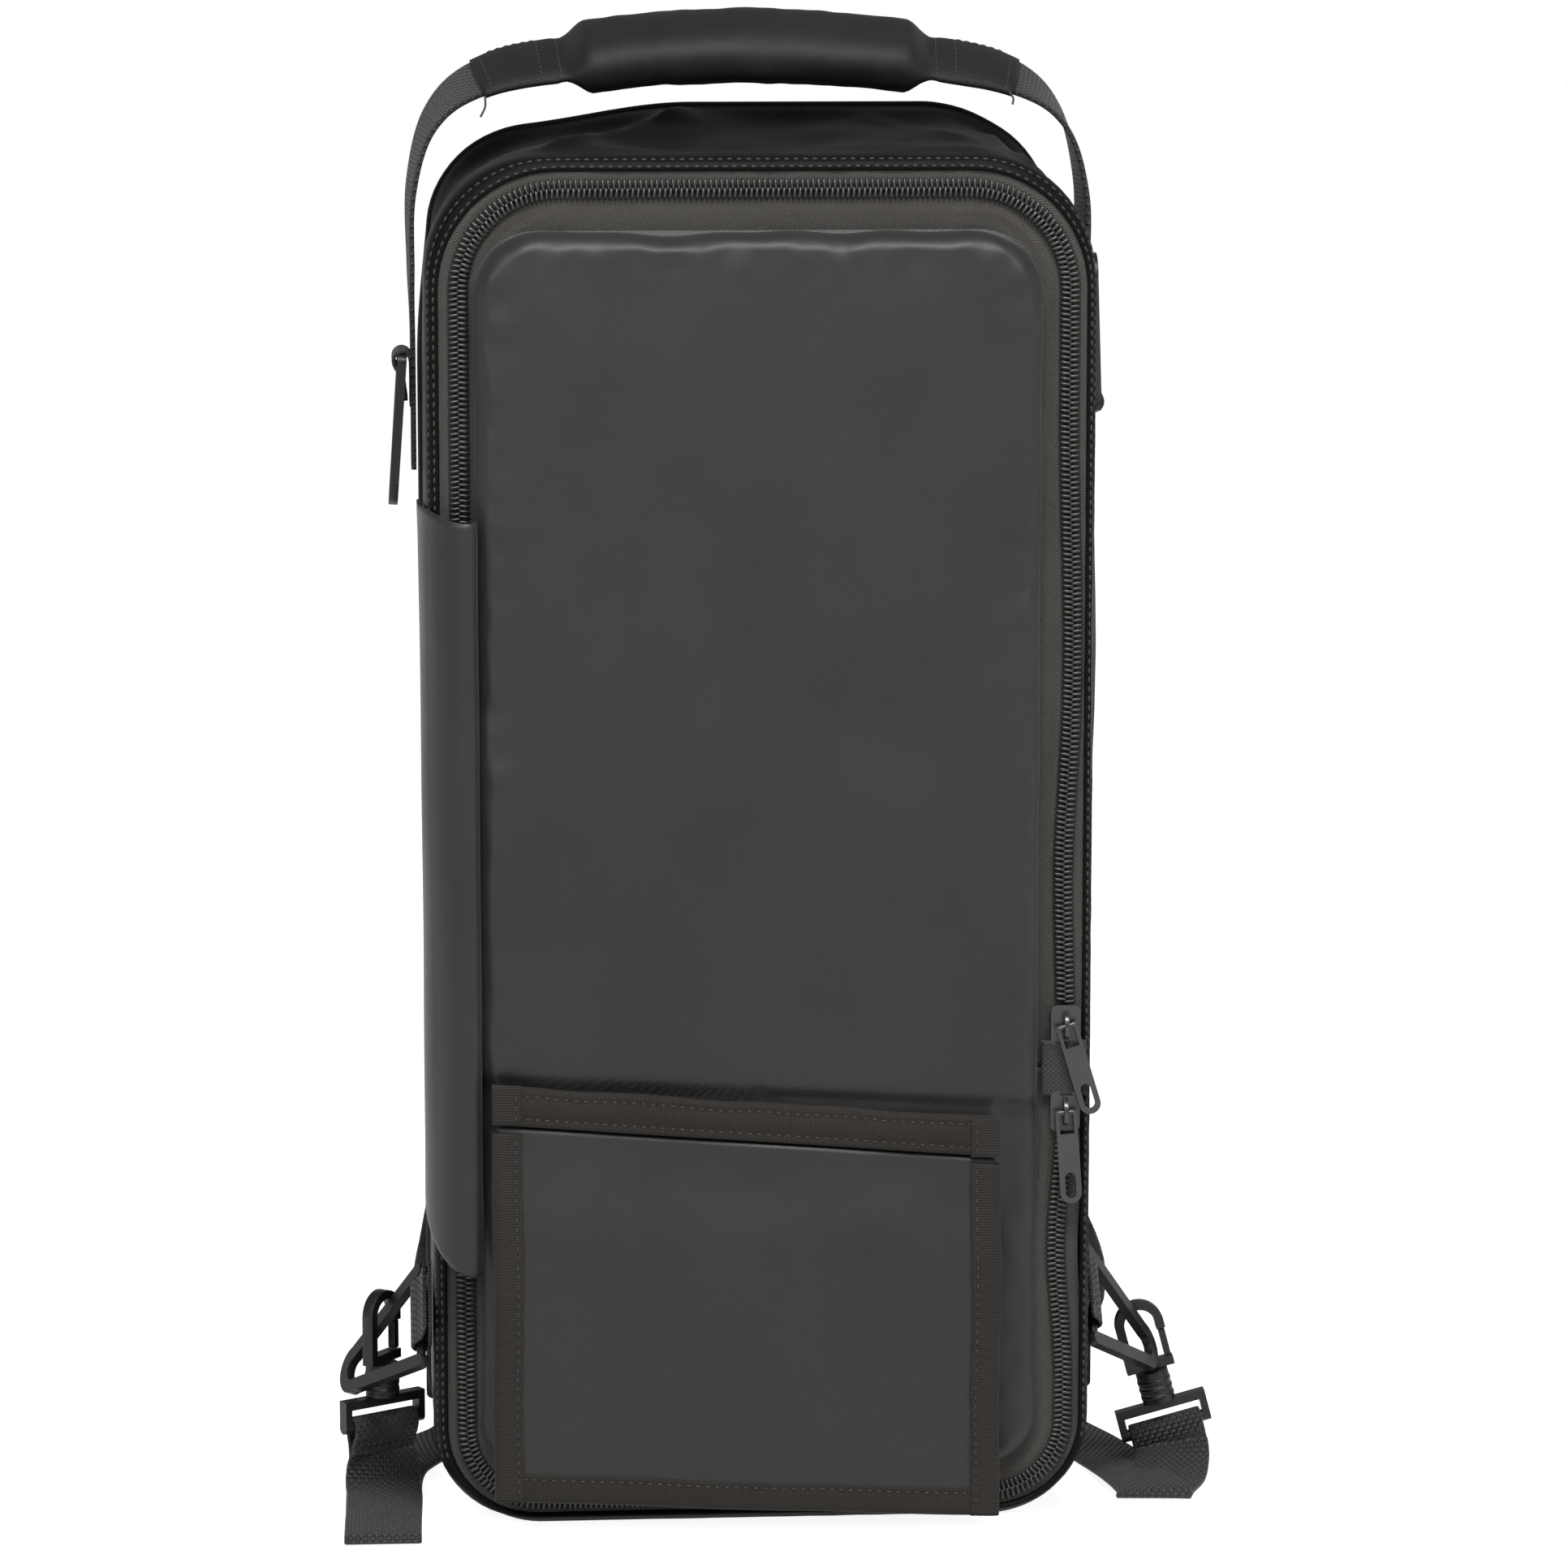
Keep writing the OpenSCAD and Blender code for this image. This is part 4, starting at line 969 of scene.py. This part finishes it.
def add_flap_top():
    """Strip that sews the flap to the cover, bound along its top."""
    strip_h = top_hi[2] - hinge_left
    t = np.linspace(0, 1, 90)
    x = flap_x0 + (flap_x1 - flap_x0) * t
    low = hinge_left + (hinge_right - hinge_left) * t
    # Section of the strip: share of its height, and depth at each share
    rows = np.array([0.03, 0.03, 0.05, 0.16, 0.22, 0.28, 0.5, 0.72, 0.78, 0.84, 0.96, 1.0, 0.98, 0.6, 0.2])
    y = np.array([-57.6, -60.2, -61.0, -60.9, -60.45, -60.9, -60.9, -60.7, -60.2, -60.6, -60.2, -58.9, -57.4, -57.4,
                  -57.4])
    rings = np.stack([np.column_stack([x, x * 0 + depth, low + strip_h * r]) for r, depth in zip(rows, y)], axis=1)
    lean = rings * [1, 0, 0]
    rings[..., 1] += 0.35 * waves(lean, 40, 81)
    rings[..., 2] += 0.35 * waves(lean, 30, 82) * (rows > 0.5)
    obj = loft("flap_top_strip", rings, BINDING, place_on_cloth(run_length(rings[:, 0]), rows * strip_h))
    finish_piece(obj, "cover", "binding", "flap_top_binding")
    for k, column in enumerate((4, 8)):
        line = rings[:, column] - [0, 0.05, 0]
        finish_piece(trim_stitches(f"flap_top_stitches_{k}", line[2:-2]), "cover", "binding")
    for k, (side, x0) in enumerate((("left", flap_x0), ("right", flap_x1 - BINDING_WIDTH))):
        top = hinge_left + (hinge_right - hinge_left) * k
        stub_x = x0 + BINDING_WIDTH / 2
        stub = curve([[stub_x, -61.0, top + 0.7], [stub_x, -60.7, top + strip_h - 0.1]], 1.0)
        piece = band(f"flap_top_end_{side}", stub, [1, 0, 0], BINDING_WIDTH, 1.5, BINDING)
        finish_piece(piece, "cover", "binding")
        thread_x = x0 + (BINDING_WIDTH - 2 if k == 0 else 2)
        line = np.linspace([thread_x, -61.75, top + 1], [thread_x, -61.75, top + strip_h - 1], 8)
        finish_piece(trim_stitches(f"flap_top_end_{side}_stitches", line), "cover", "binding")


def pocket_grid(lo, hi, base_y, facing, roll):
    """Front of a sewn-on pocket: it stands off base_y except at its sides and foot."""
    gx, gz = mesh_of(lo, hi, 80, 60)
    edge = np.minimum(np.minimum(gx - lo[0], hi[0] - gx), gz - lo[2])
    deep = abs(hi[1] - lo[1])
    y = base_y + facing * (0.5 + (deep - 0.5) * edge_roll(np.clip(edge, 0, roll), roll))
    return np.stack([gx, y, gz], axis=-1)


def add_pockets():
    lo, hi = box("accessory_pocket")
    grid = pocket_grid(lo, hi, hi[1] - 1.0, -1, 3.0)
    grid[..., 1] -= 0.3 + 0.25 * waves(grid, 40, 91)
    finish_piece(cloth("accessory_pocket_face", grid, SATIN), "cover", "satin_fabric", "accessory_pocket")
    hem = grid[-3].copy()
    hem[:, 1] -= 0.2
    finish_piece(stitch_row("accessory_pocket_stitches", hem, FRONT), "cover", "satin_fabric")
    add_pile_patch("pocket_loop_patch", "pocket_loop_tape", "cover", -0.1)
    lo, hi = box("inner_pocket")
    grid = pocket_grid(lo, hi, lo[1] + 0.2, 1, 5.0)
    grid[..., 1] += 0.35 * waves(grid, 45, 92)
    finish_piece(cloth("inner_pocket_face", grid, LINING, 0.9), "cover", "lining", "inner_pocket")
    rim = band("inner_pocket_rim", grid[-1] + [0, 0, 3], [0, 0, 1], 9, 2.0, BINDING)
    finish_piece(rim, "cover", "binding", "inner_pocket_binding")
    lo, hi = box("stick_pocket")
    gx, gz = mesh_of(lo, hi, 161, 80)
    sleeve = np.abs(np.sin(math.pi * 4 * (gx - lo[0]) / (hi[0] - lo[0])))
    foot = edge_roll(np.clip(gz - lo[2], 0, 8), 8)
    grid = np.stack([gx, hi[1] - 0.8 - 12.5 * np.sqrt(sleeve) * foot, gz], axis=-1)
    grid[..., 1] += 0.4 * waves(grid, 50, 93)
    finish_piece(cloth("stick_sleeves", grid, LINING), "bag", "lining", "stick_pocket")
    rim = band("stick_sleeve_rim", grid[-1] + [0, 0.3, 3.5], [0, 0, 1], 9, 2.2, BINDING)
    finish_piece(rim, "bag", "binding", "stick_pocket_binding")


add_flap()
add_flap_top()
add_pockets()


# ---------- back, base and piping ----------

def add_back():
    outline = (back_lo[0], back_hi[0], back_lo[2], back_hi[2], 30, 26)
    thick = back_hi[1] - back_in_hi[1] - 0.4

    def thickness(x, z, d):
        flat = np.stack([x, z, x * 0], axis=-1)
        channels = sum(1.6 * bell((z - level) / 2.2) for level in (120, 245, 370)) * smooth((d - 4) / 8)
        crown = 1.3 * smooth(d / 45)
        return (thick + crown - channels + 0.35 * waves(flat, 80, 101) + 0.3 * waves(flat, 14, 102)
                * bell((d - 4) / 4)) * (0.35 + 0.65 * edge_roll(d, 4.5))

    obj = pad("back_pad", outline, 4.5, back_in_hi[1], thickness, SATIN, facing=1)
    move_points(obj, settle)
    finish_piece(obj, "bag", "satin_fabric", "back_outer", "back_foam")
    grid = shrunk_rings(rounded(*outline), np.array([0, 230]), back_in_lo[1] + 0.1, np.linspace(0.02, 0.995, 30))
    back = grid[::-1] + [0, 0.8, 0]
    both = settle(np.concatenate([grid, back]))
    faces = grid_faces(len(both), both.shape[1], True)
    lining = add_mesh("back_lining_panel", both, faces, LINING, both[..., [0, 2]])
    finish_piece(lining, "bag", "lining", "back_lining")
    lo, hi = box("back_piping")
    ring = rounded(lo[0] + 1.9, hi[0] - 1.9, lo[2] + 1.9, hi[2] - 1.9, 30, 26)
    path = settle(np.insert(ring, 1, (lo[1] + hi[1]) / 2, axis=1))
    along = unit(np.roll(path, -1, axis=0) - np.roll(path, 1, axis=0))
    out = unit(np.cross(along, [0, 1, 0]))
    section = round_section(1.9, 8)
    rings = path[:, None] + out[:, None] * section[None, :, :1] + np.array([0, 1, 0]) * section[None, :, 1:]
    faces = grid_faces(len(rings), 8, True, loop=True)
    weave = place_on_cloth(run_length(path), np.arange(8) * 1.5)
    piping = add_mesh("back_piping_cord", rings, faces, BINDING, weave)
    finish_piece(piping, "bag", "binding", "back_piping")


def add_base():
    for name, node, material, body_slot, crown in (("base_wear_patch", "base_patch", BASE, "base_fabric", 0.0),
                                                   ("base_stiffener", "base_board", LINING, "foam", 0.4)):
        lo, hi = box(node)
        gx, gy = mesh_of(lo, hi, 60, 26, axis=1)
        edge = np.minimum(np.minimum(gx - lo[0], hi[0] - gx), np.minimum(gy - lo[1], hi[1] - gy))
        rise = (hi[2] - lo[2]) * (0.5 + 0.5 * edge_roll(np.clip(edge, 0, 2), 2)) + crown * smooth(edge / 15)
        top = np.stack([gx, gy, lo[2] + rise], axis=-1)
        under = np.stack([gx, gy, lo[2] + 0.35 * (1 - edge_roll(np.clip(edge, 0, 2), 2))], axis=-1)
        finish_piece(slab(name, top, under, material, top[..., :2]), "bag", body_slot, node)


add_back()
add_base()


# ---------- carry handle ----------

handle_lo, handle_hi = box("handle_webbing")
handle_y = (handle_lo[1] + handle_hi[1]) / 2
leg_x = handle_hi[0] - 0.8
grip_z = handle_hi[2] - 0.8
GRIP_ROLL = math.radians(28)
WEBBING_WIDTH = 25


def handle_route():
    """Middle line of the handle from its left sewn end to its right one, with the band's roll at each point."""
    half = [[leg_x, handle_lo[2], 0], [leg_x, 380, 0], [leg_x + 0.4, 404, 0.25], [leg_x, 430, 0.45],
            [103, 452, 0.65], [88, grip_z - 11, 0.9], [60, grip_z - 4.6, 1.0]]
    left = [[-x, handle_y, z, roll] for x, z, roll in half]
    right = [[x, handle_y, z, roll] for x, z, roll in reversed(half)]
    return curve(left + [[0, handle_y, grip_z, 1.0]] + right, 1.6)


def add_handle():
    route = handle_route()
    path, roll = route[:, :3], route[:, 3]
    twist = math.radians(3) * smooth(roll / 0.4) * smooth((np.abs(path[:, 0]) - 80) / 25)
    across = np.column_stack([-np.sin(twist), np.cos(GRIP_ROLL * roll) * np.cos(twist), np.sin(GRIP_ROLL * roll)])
    web = band("handle_strap", path, across, WEBBING_WIDTH, 1.7, WEBBING, spread=10)
    finish_piece(web, "handle", "webbing", "handle_webbing")
    inside = np.abs(path[:, 0]) < 88
    line, lean = path[inside], across[inside]
    x = line[:, 0]
    padded = smooth((60 - np.abs(x)) / 9)
    width = 27.5 + 4.5 * padded
    thick = 5.0 + 13.0 * padded
    a = np.linspace(0, 2 * math.pi, 48, endpoint=False)
    section = oval_section(48, 0.75, 0.8) * np.stack([width / 2, thick / 2], axis=-1)[:, None]
    rings, weave = sweep(line, lean, section)
    out = unit(rings - line[:, None])
    crease = 1.7 * bell((a - math.radians(204)) / 0.09) * padded[:, None]
    slack = (0.45 * waves(rings, 26, 111) + 0.2 * waves(rings, 9, 112)) * (0.4 + 0.6 * padded[:, None])
    pinch = 0.78 * bell((np.abs(x) - 60.5) / 1.6)[:, None]
    rings = rings + out * (slack - crease - pinch)[..., None]
    weave[..., 1] = a * 14
    sleeve = loft("grip_sleeve", rings, GRIP, weave)
    finish_piece(sleeve, "handle", "satin_fabric", "handle_wrap", "handle_foam")
    add_grip_stitches(rings, x)


def add_grip_stitches(rings, x):
    """Cross rows beside the padding and a box of stitches at each end, on the face turned up and forward."""
    threads = []

    def face_line(points_x, shares):
        """Points on the sleeve's upper face: share 0 is its front edge and 1 its back edge."""
        line, normals = [], []
        for px, share in zip(points_x, shares):
            i = int(np.argmin(np.abs(x - px)))
            angle = math.pi * (1 - share)
            j = int(round(angle / (2 * math.pi) * rings.shape[1])) % rings.shape[1]
            line.append(rings[i, j])
            normals.append(rings[i, j] - rings[i].mean(axis=0))
        return np.array(line), unit(np.array(normals))

    for side in (-1, 1):
        for px in (61, 68, 85):
            line, normals = face_line([side * px] * 15, np.linspace(0.06, 0.9, 15))
            threads.append(stitch_row(f"grip_cross_{side}_{px}", line, normals, pitch=2.8, length=1.9))
        for share in (0.14, 0.84):
            line, normals = face_line(side * np.linspace(68, 85, 11), [share] * 11)
            threads.append(stitch_row(f"grip_box_{side}_{share}", line, normals, pitch=2.8, length=1.9))
    front, _ = face_line([-87.4, 86.8], [0.02, 0.03])
    for k, (start, fall) in enumerate(((front[0], [-1.5, -1.5, -6.5]), (front[1], [1.0, -1.2, -4.0]))):
        path = curve([start, start + np.array(fall) * 0.5 + [0.8, 0, 0], start + fall], 0.6)
        threads.append(band(f"grip_loose_thread_{k}", path, [1, 0, 0], 0.7, 0.5, THREAD, spread=3))
    finish_piece(joined("grip_stitches", threads), "handle", "satin_fabric")


add_handle()


# ---------- ring tabs and lower webbing ----------

def loop_tab(place, side, centre, tail, out, across, body):
    """Webbing folded round a ring's bar, its two layers sewn flat."""
    name = f"{place}_tab_loop_{side}"
    centre, tail, out = np.array(centre, float), np.array(tail, float), np.array(out, float)
    length, radius, width = 15, 2.75, 24
    stops = [centre - out * (radius + 0.2) + tail * length, centre - out * (radius + 0.2) + tail * 5,
             centre - out * radius, centre - out * radius * 0.7 - tail * radius * 0.7, centre - tail * radius,
             centre + out * radius * 0.7 - tail * radius * 0.7, centre + out * radius,
             centre + out * radius * 0.75 + tail * radius * 0.9, centre - out * (radius - 2.6) + tail * 6,
             centre - out * (radius - 1.5) + tail * (length - 2)]
    piece = band(name, curve(stops, 0.8), across, width, 1.2, WEBBING)
    finish_piece(piece, body, "webbing", f"{place}_tab_{side}")
    edge = np.array(across) * (width / 2 - 3)
    threads = []
    for k, drop in enumerate((6.5, 10.5)):
        middle = centre - out * (radius - 2.2) + tail * drop
        line = np.linspace(middle - edge, middle + edge, 9)
        threads.append(stitch_row(f"{name}_row_{k}", line, out, pitch=2.6, length=1.8))
    finish_piece(joined(f"{name}_stitches", threads), body, "webbing")


slant = math.sqrt(0.5)
panel_y = back_hi[1]
loop_tab("upper", "left", (-113, handle_y, 375), (0, 0, -1), (-1, 0, 0), (0, 1, 0), "handle")
loop_tab("upper", "right", (113, handle_y, 360), (0, 0, 1), (1, 0, 0), (0, 1, 0), "handle")
loop_tab("lower", "left", (-110.2, -28, 66), (0, -slant, slant), (-1, 0, 0), (0, slant, slant), "bag")
loop_tab("lower", "right", (110.2, -22, 68), (0, -slant, slant), (1, 0, 0), (0, slant, slant), "bag")

# Route of each adjusting webbing from the swivel's bar over the floor to its ladder lock: place, then the
# direction across the webbing
LEFT_WEBBING = [
    [-123, -5, 15, 0.84, 0.54, 0], [-123, -6.4, 9.5, 0.95, 0.3, 0], [-123, -10, 4.6, 1, 0.1, 0],
    [-122.6, -20, 2.7, 1, 0, 0], [-123, -45, 2.6, 1, 0, 0], [-123.2, -64, 2.6, 1, 0, 0],
    [-123.2, -65.2, 1.75, 1, 0, 0], [-123.2, -64, 0.9, 1, 0, 0], [-123, -40, 0.9, 1, 0, 0],
    [-122, 10, 0.9, 1, 0, 0], [-116, 32, 0.9, 0.96, -0.28, 0], [-104, 52, 0.9, 0.88, -0.48, 0],
    [-95.5, 64, 1.1, 0.94, -0.34, 0], [-92.1, 73, 2.2, 1, 0, 0], [-92, 76, 5.2, 1, 0, 0],
    [-92, 72.5, 9.2, 1, 0, 0], [-92, 62, 12.5, 1, 0, 0]]
RIGHT_WEBBING = [
    [141.9, 7.6, 8.6, 0.966, 0, 0.259], [141.6, 2.5, 5, 1, 0, 0.12], [139, -8, 1.7, 1, -0.15, 0],
    [133.5, -21, 0.9, 0.94, -0.3, 0], [131.2, -29, 0.9, 0.98, -0.15, 0], [130.9, -32.6, 2.1, 1, 0, 0],
    [130.8, -30, 3.3, 1, 0, 0], [128, -12, 3, 0.99, 0.13, 0], [123.5, 14, 1.1, 0.98, 0.2, 0],
    [115.5, 40, 0.9, 0.95, 0.3, 0], [107.5, 60, 1.1, 0.94, 0.33, 0], [104.2, 71, 2.2, 1, 0, 0],
    [104, 74, 5.2, 1, 0, 0], [104, 71, 9.2, 1, 0, 0], [104, 62, 12.5, 1, 0, 0]]
FLOOR_GAP = 0.85  # lowest middle line of a webbing that lies on the floor
# The webbing's way through a ladder lock: off the panel, height
LOCK_THREADING = [[12.4, 16.8], [11.9, 20.6], [9.6, 23.6], [6.6, 25.4], [6.1, 29.5], [7.4, 32.6], [9.4, 33.3],
                  [11.5, 32.2], [12.2, 29], [14.2, 23.5], [18.4, 17.5]]


def add_adjusting_webbing(side, stops, foot_x):
    threaded = [[foot_x, panel_y + off, z, 1, 0, 0] for off, z in LOCK_THREADING]
    route = curve(stops + threaded, 0.8)
    path = route[:, :3].copy()
    path[:, 2] = np.maximum(path[:, 2], FLOOR_GAP)
    piece = band(f"adjusting_webbing_{side}", path, route[:, 3:6], WEBBING_WIDTH, 1.4, WEBBING, spread=12)
    finish_piece(piece, "bag", "webbing", f"{side}_adjust_webbing")


def add_bar_loop(side, centre, along_bar, down):
    """End of the adjusting webbing sewn round the swivel's bar."""
    along_bar, down = unit(np.array(along_bar, float)), unit(np.array(down, float))
    back = unit(np.cross(along_bar, down))
    back = back * np.sign(back[1])
    # Path round the bar: towards the back, and down
    turn = [[-0.2, 9.8], [-0.9, 6.5], [-2.3, 3.2], [-2.75, 0.4], [-1.95, -1.95], [0, -2.75], [1.95, -1.95],
            [2.75, 0.4], [2.5, 3.2], [1.7, 6.5], [1.35, 10.5]]
    path = curve([np.array(centre) + back * n + down * d for n, d in turn], 0.6)
    loop = band(f"bar_loop_{side}", path, along_bar, 24.8, 1.4, WEBBING, spread=12)
    finish_piece(loop, f"swivel_{side}", "webbing")
    middle = np.array(centre) - back * 1.75 + down * 6.3
    line = np.linspace(middle - along_bar * 10.5, middle + along_bar * 10.5, 9)
    row = stitch_row(f"bar_loop_{side}_stitches", line, -back, pitch=2.6, length=1.8, thick=0.42)
    finish_piece(row, f"swivel_{side}", "webbing")


add_adjusting_webbing("left", LEFT_WEBBING, -92)
add_adjusting_webbing("right", RIGHT_WEBBING, 104)
add_bar_loop("left", (-123, -5, 24.5), (0.839, 0.545, 0), (0, 0, -1))
add_bar_loop("right", (140.45, 10.6, 13.94), (0.966, 0, 0.259), (0.259, 0, -0.966))


# ---------- shoulder straps ----------


# Middle line of the right padded strap down the back: across, off the panel, height, width
STRAP_STOPS = [[42, 4.3, 424, 52], [42, 4.3, 414, 52], [44, 5.6, 402, 52], [56, 9, 368, 56], [77, 14, 310, 56],
               [74, 15, 240, 52], [72, 13, 170, 48], [80, 10, 112, 44]]
# Loop that holds a ladder lock: off the panel, height
LOCK_LOOP = [[6.2, 52], [6.1, 40], [7.4, 36], [9, 35.2], [10.6, 36], [11.9, 40], [11.8, 52]]


def add_strap(side_name, side, foot_x):
    stops = STRAP_STOPS + [[foot_x, 9, 62, 38], [foot_x, 9, 46, 38]]
    route = curve([[side * x, panel_y + off, z, width] for x, off, z, width in stops], 3.0)
    path, width = route[:, :3], route[:, 3]
    end = smooth(np.arange(len(path)) / 9.0) * smooth((len(path) - 1 - np.arange(len(path))) / 4.0)
    thick = 4.2 + 4.6 * end
    section = oval_section(40, 0.55, 0.7) * np.stack([width / 2 - 1.0, thick / 2], axis=-1)[:, None]
    rings, weave = sweep(path, [1, 0, 0], section)
    rings[..., 1] += 0.3 * waves(rings, 40, 121)
    pad_piece = loft(f"shoulder_pad_{side_name}", rings, AIR_MESH, weave)
    finish_piece(pad_piece, "bag", "strap_fabric", f"{side_name}_strap_cover", f"{side_name}_strap_foam")
    _, lateral, out = frames(path, np.array([1.0, 0, 0]))
    for k, edge in enumerate((-1, 1)):
        line = path + lateral * (edge * (width / 2 - 1.2))[:, None]
        trim = band(f"shoulder_edge_{side_name}_{k}", line, out, 4.4, 3.0, BINDING)
        finish_piece(trim, "bag", "binding")
        up = out * np.sign(out[:, 1:2])
        row = path + lateral * (edge * (width / 2 - 4.0))[:, None] + up * (thick / 2 - 0.6)[:, None]
        threads = stitch_row(f"shoulder_stitches_{side_name}_{k}", row, up, pitch=3.6, length=2.2)
        finish_piece(threads, "bag", "binding")
    foot = path[-8:]
    cuff = band(f"shoulder_foot_{side_name}", foot - [0, 0, 0.5], [1, 0, 0], 39.5, 9.6, BINDING)
    finish_piece(cuff, "bag", "binding")
    loop = curve([[side * foot_x, panel_y + off, z] for off, z in LOCK_LOOP], 0.8)
    piece = band(f"lock_loop_{side_name}", loop, [1, 0, 0], 24, 1.1, WEBBING)
    finish_piece(piece, "bag", "webbing")


add_strap("left", -1, 92)
add_strap("right", 1, 104)


def add_yoke():
    """Patch that covers the tops of both straps."""
    gx, gz = mesh_of((-74, 0, 402), (74, 0, 432), 70, 18)
    over = smooth((33 - np.abs(np.abs(gx) - 42)) / 10) * smooth((433 - gz) / 9)
    edge = np.minimum(np.minimum(gx + 74, 74 - gx), 432 - gz)
    y = panel_y + 1.2 + over * (5.8 + 3.6 * smooth((426 - gz) / 24)) + 0.3 * edge_roll(np.clip(edge, 0, 2), 2)
    y += 0.25 * waves(np.stack([gx, gz, gx * 0], axis=-1), 24, 131)
    grid = settle(np.stack([gx, y, gz], axis=-1))
    # The yoke wears the satin darkened with painted shade.
    obj = cloth("strap_yoke", grid, SHADED_SATIN, 1.2)
    finish_piece(obj, "bag", "satin_fabric")
    rows = [stitch_row(f"yoke_row_{k}", grid[j] + [0, 0.1, 0], -FRONT) for k, j in enumerate((1, -2))]
    finish_piece(joined("yoke_stitches", rows), "bag", "satin_fabric")


add_yoke()


# ---------- moulded parts keep their CAD shape and get soft edges ----------

WELD_DISTANCE = 0.02
BEVEL_ANGLE = math.radians(32)
# Width of the soft edges of each kind of moulded part
MOULDED_EDGES = (("upper_ring", 0.9), ("lower_ring", 0.9), ("hook", 0.7), ("gate", 0.4), ("swivel", 0.6),
                 ("ladder_lock", 0.6))
FITTING_EDGE = 0.35


def dress(node, material, edge):
    """Procedural finish and rounded edges on a CAD part."""
    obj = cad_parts[node]
    obj.data.materials.clear()
    obj.data.materials.append(material)
    weld = obj.modifiers.new("weld", "WELD")
    weld.merge_threshold = WELD_DISTANCE * MM
    bevel = obj.modifiers.new("edges", "BEVEL")
    bevel.width = edge * MM
    bevel.segments = 3
    bevel.limit_method = "ANGLE"
    bevel.angle_limit = BEVEL_ANGLE
    bevel.harden_normals = True


for moulded_part, part_edge in MOULDED_EDGES:
    for part_side in ("left", "right"):
        dress(f"{moulded_part}_{part_side}", PLASTIC, part_edge)
for fitting in ("slider", "pull"):
    for zip_level in ("upper", "lower"):
        dress(f"{zip_level}_{fitting}", FITTING, FITTING_EDGE)


def add_barrel_ribs(side, top, axis):
    """Moulded ribs round a swivel's barrel, at distances below the hook's ring."""
    axis = unit(np.array(axis, float))
    across = unit(np.cross(axis, [0, 1, 0]))
    third = np.cross(axis, across)
    a = np.linspace(0, 2 * math.pi, 40, endpoint=False)[:, None]
    radial = across * np.cos(a) + third * np.sin(a)
    ribs_made = []
    for k, drop in enumerate((20.0, 22.6, 25.2)):
        # Section of a rib: radius, and place along the barrel
        profile = [[5.35, -0.95], [5.65, -0.6], [5.75, 0.0], [5.65, 0.6], [5.35, 0.95]]
        rings = np.stack([np.array(top) + axis * (drop + h) + radial * r for r, h in profile])
        ribs_made.append(loft(f"barrel_rib_{side}_{k}", rings, PLASTIC, np.zeros(rings.shape[:2] + (2,))))
    finish_piece(joined(f"barrel_ribs_{side}", ribs_made), f"swivel_{side}", "plastic")


add_barrel_ribs("left", (-123, -5, 61), (0, 0, -1))
add_barrel_ribs("right", (131, 10.6, 49.2), (0.2588, 0, -0.9659))
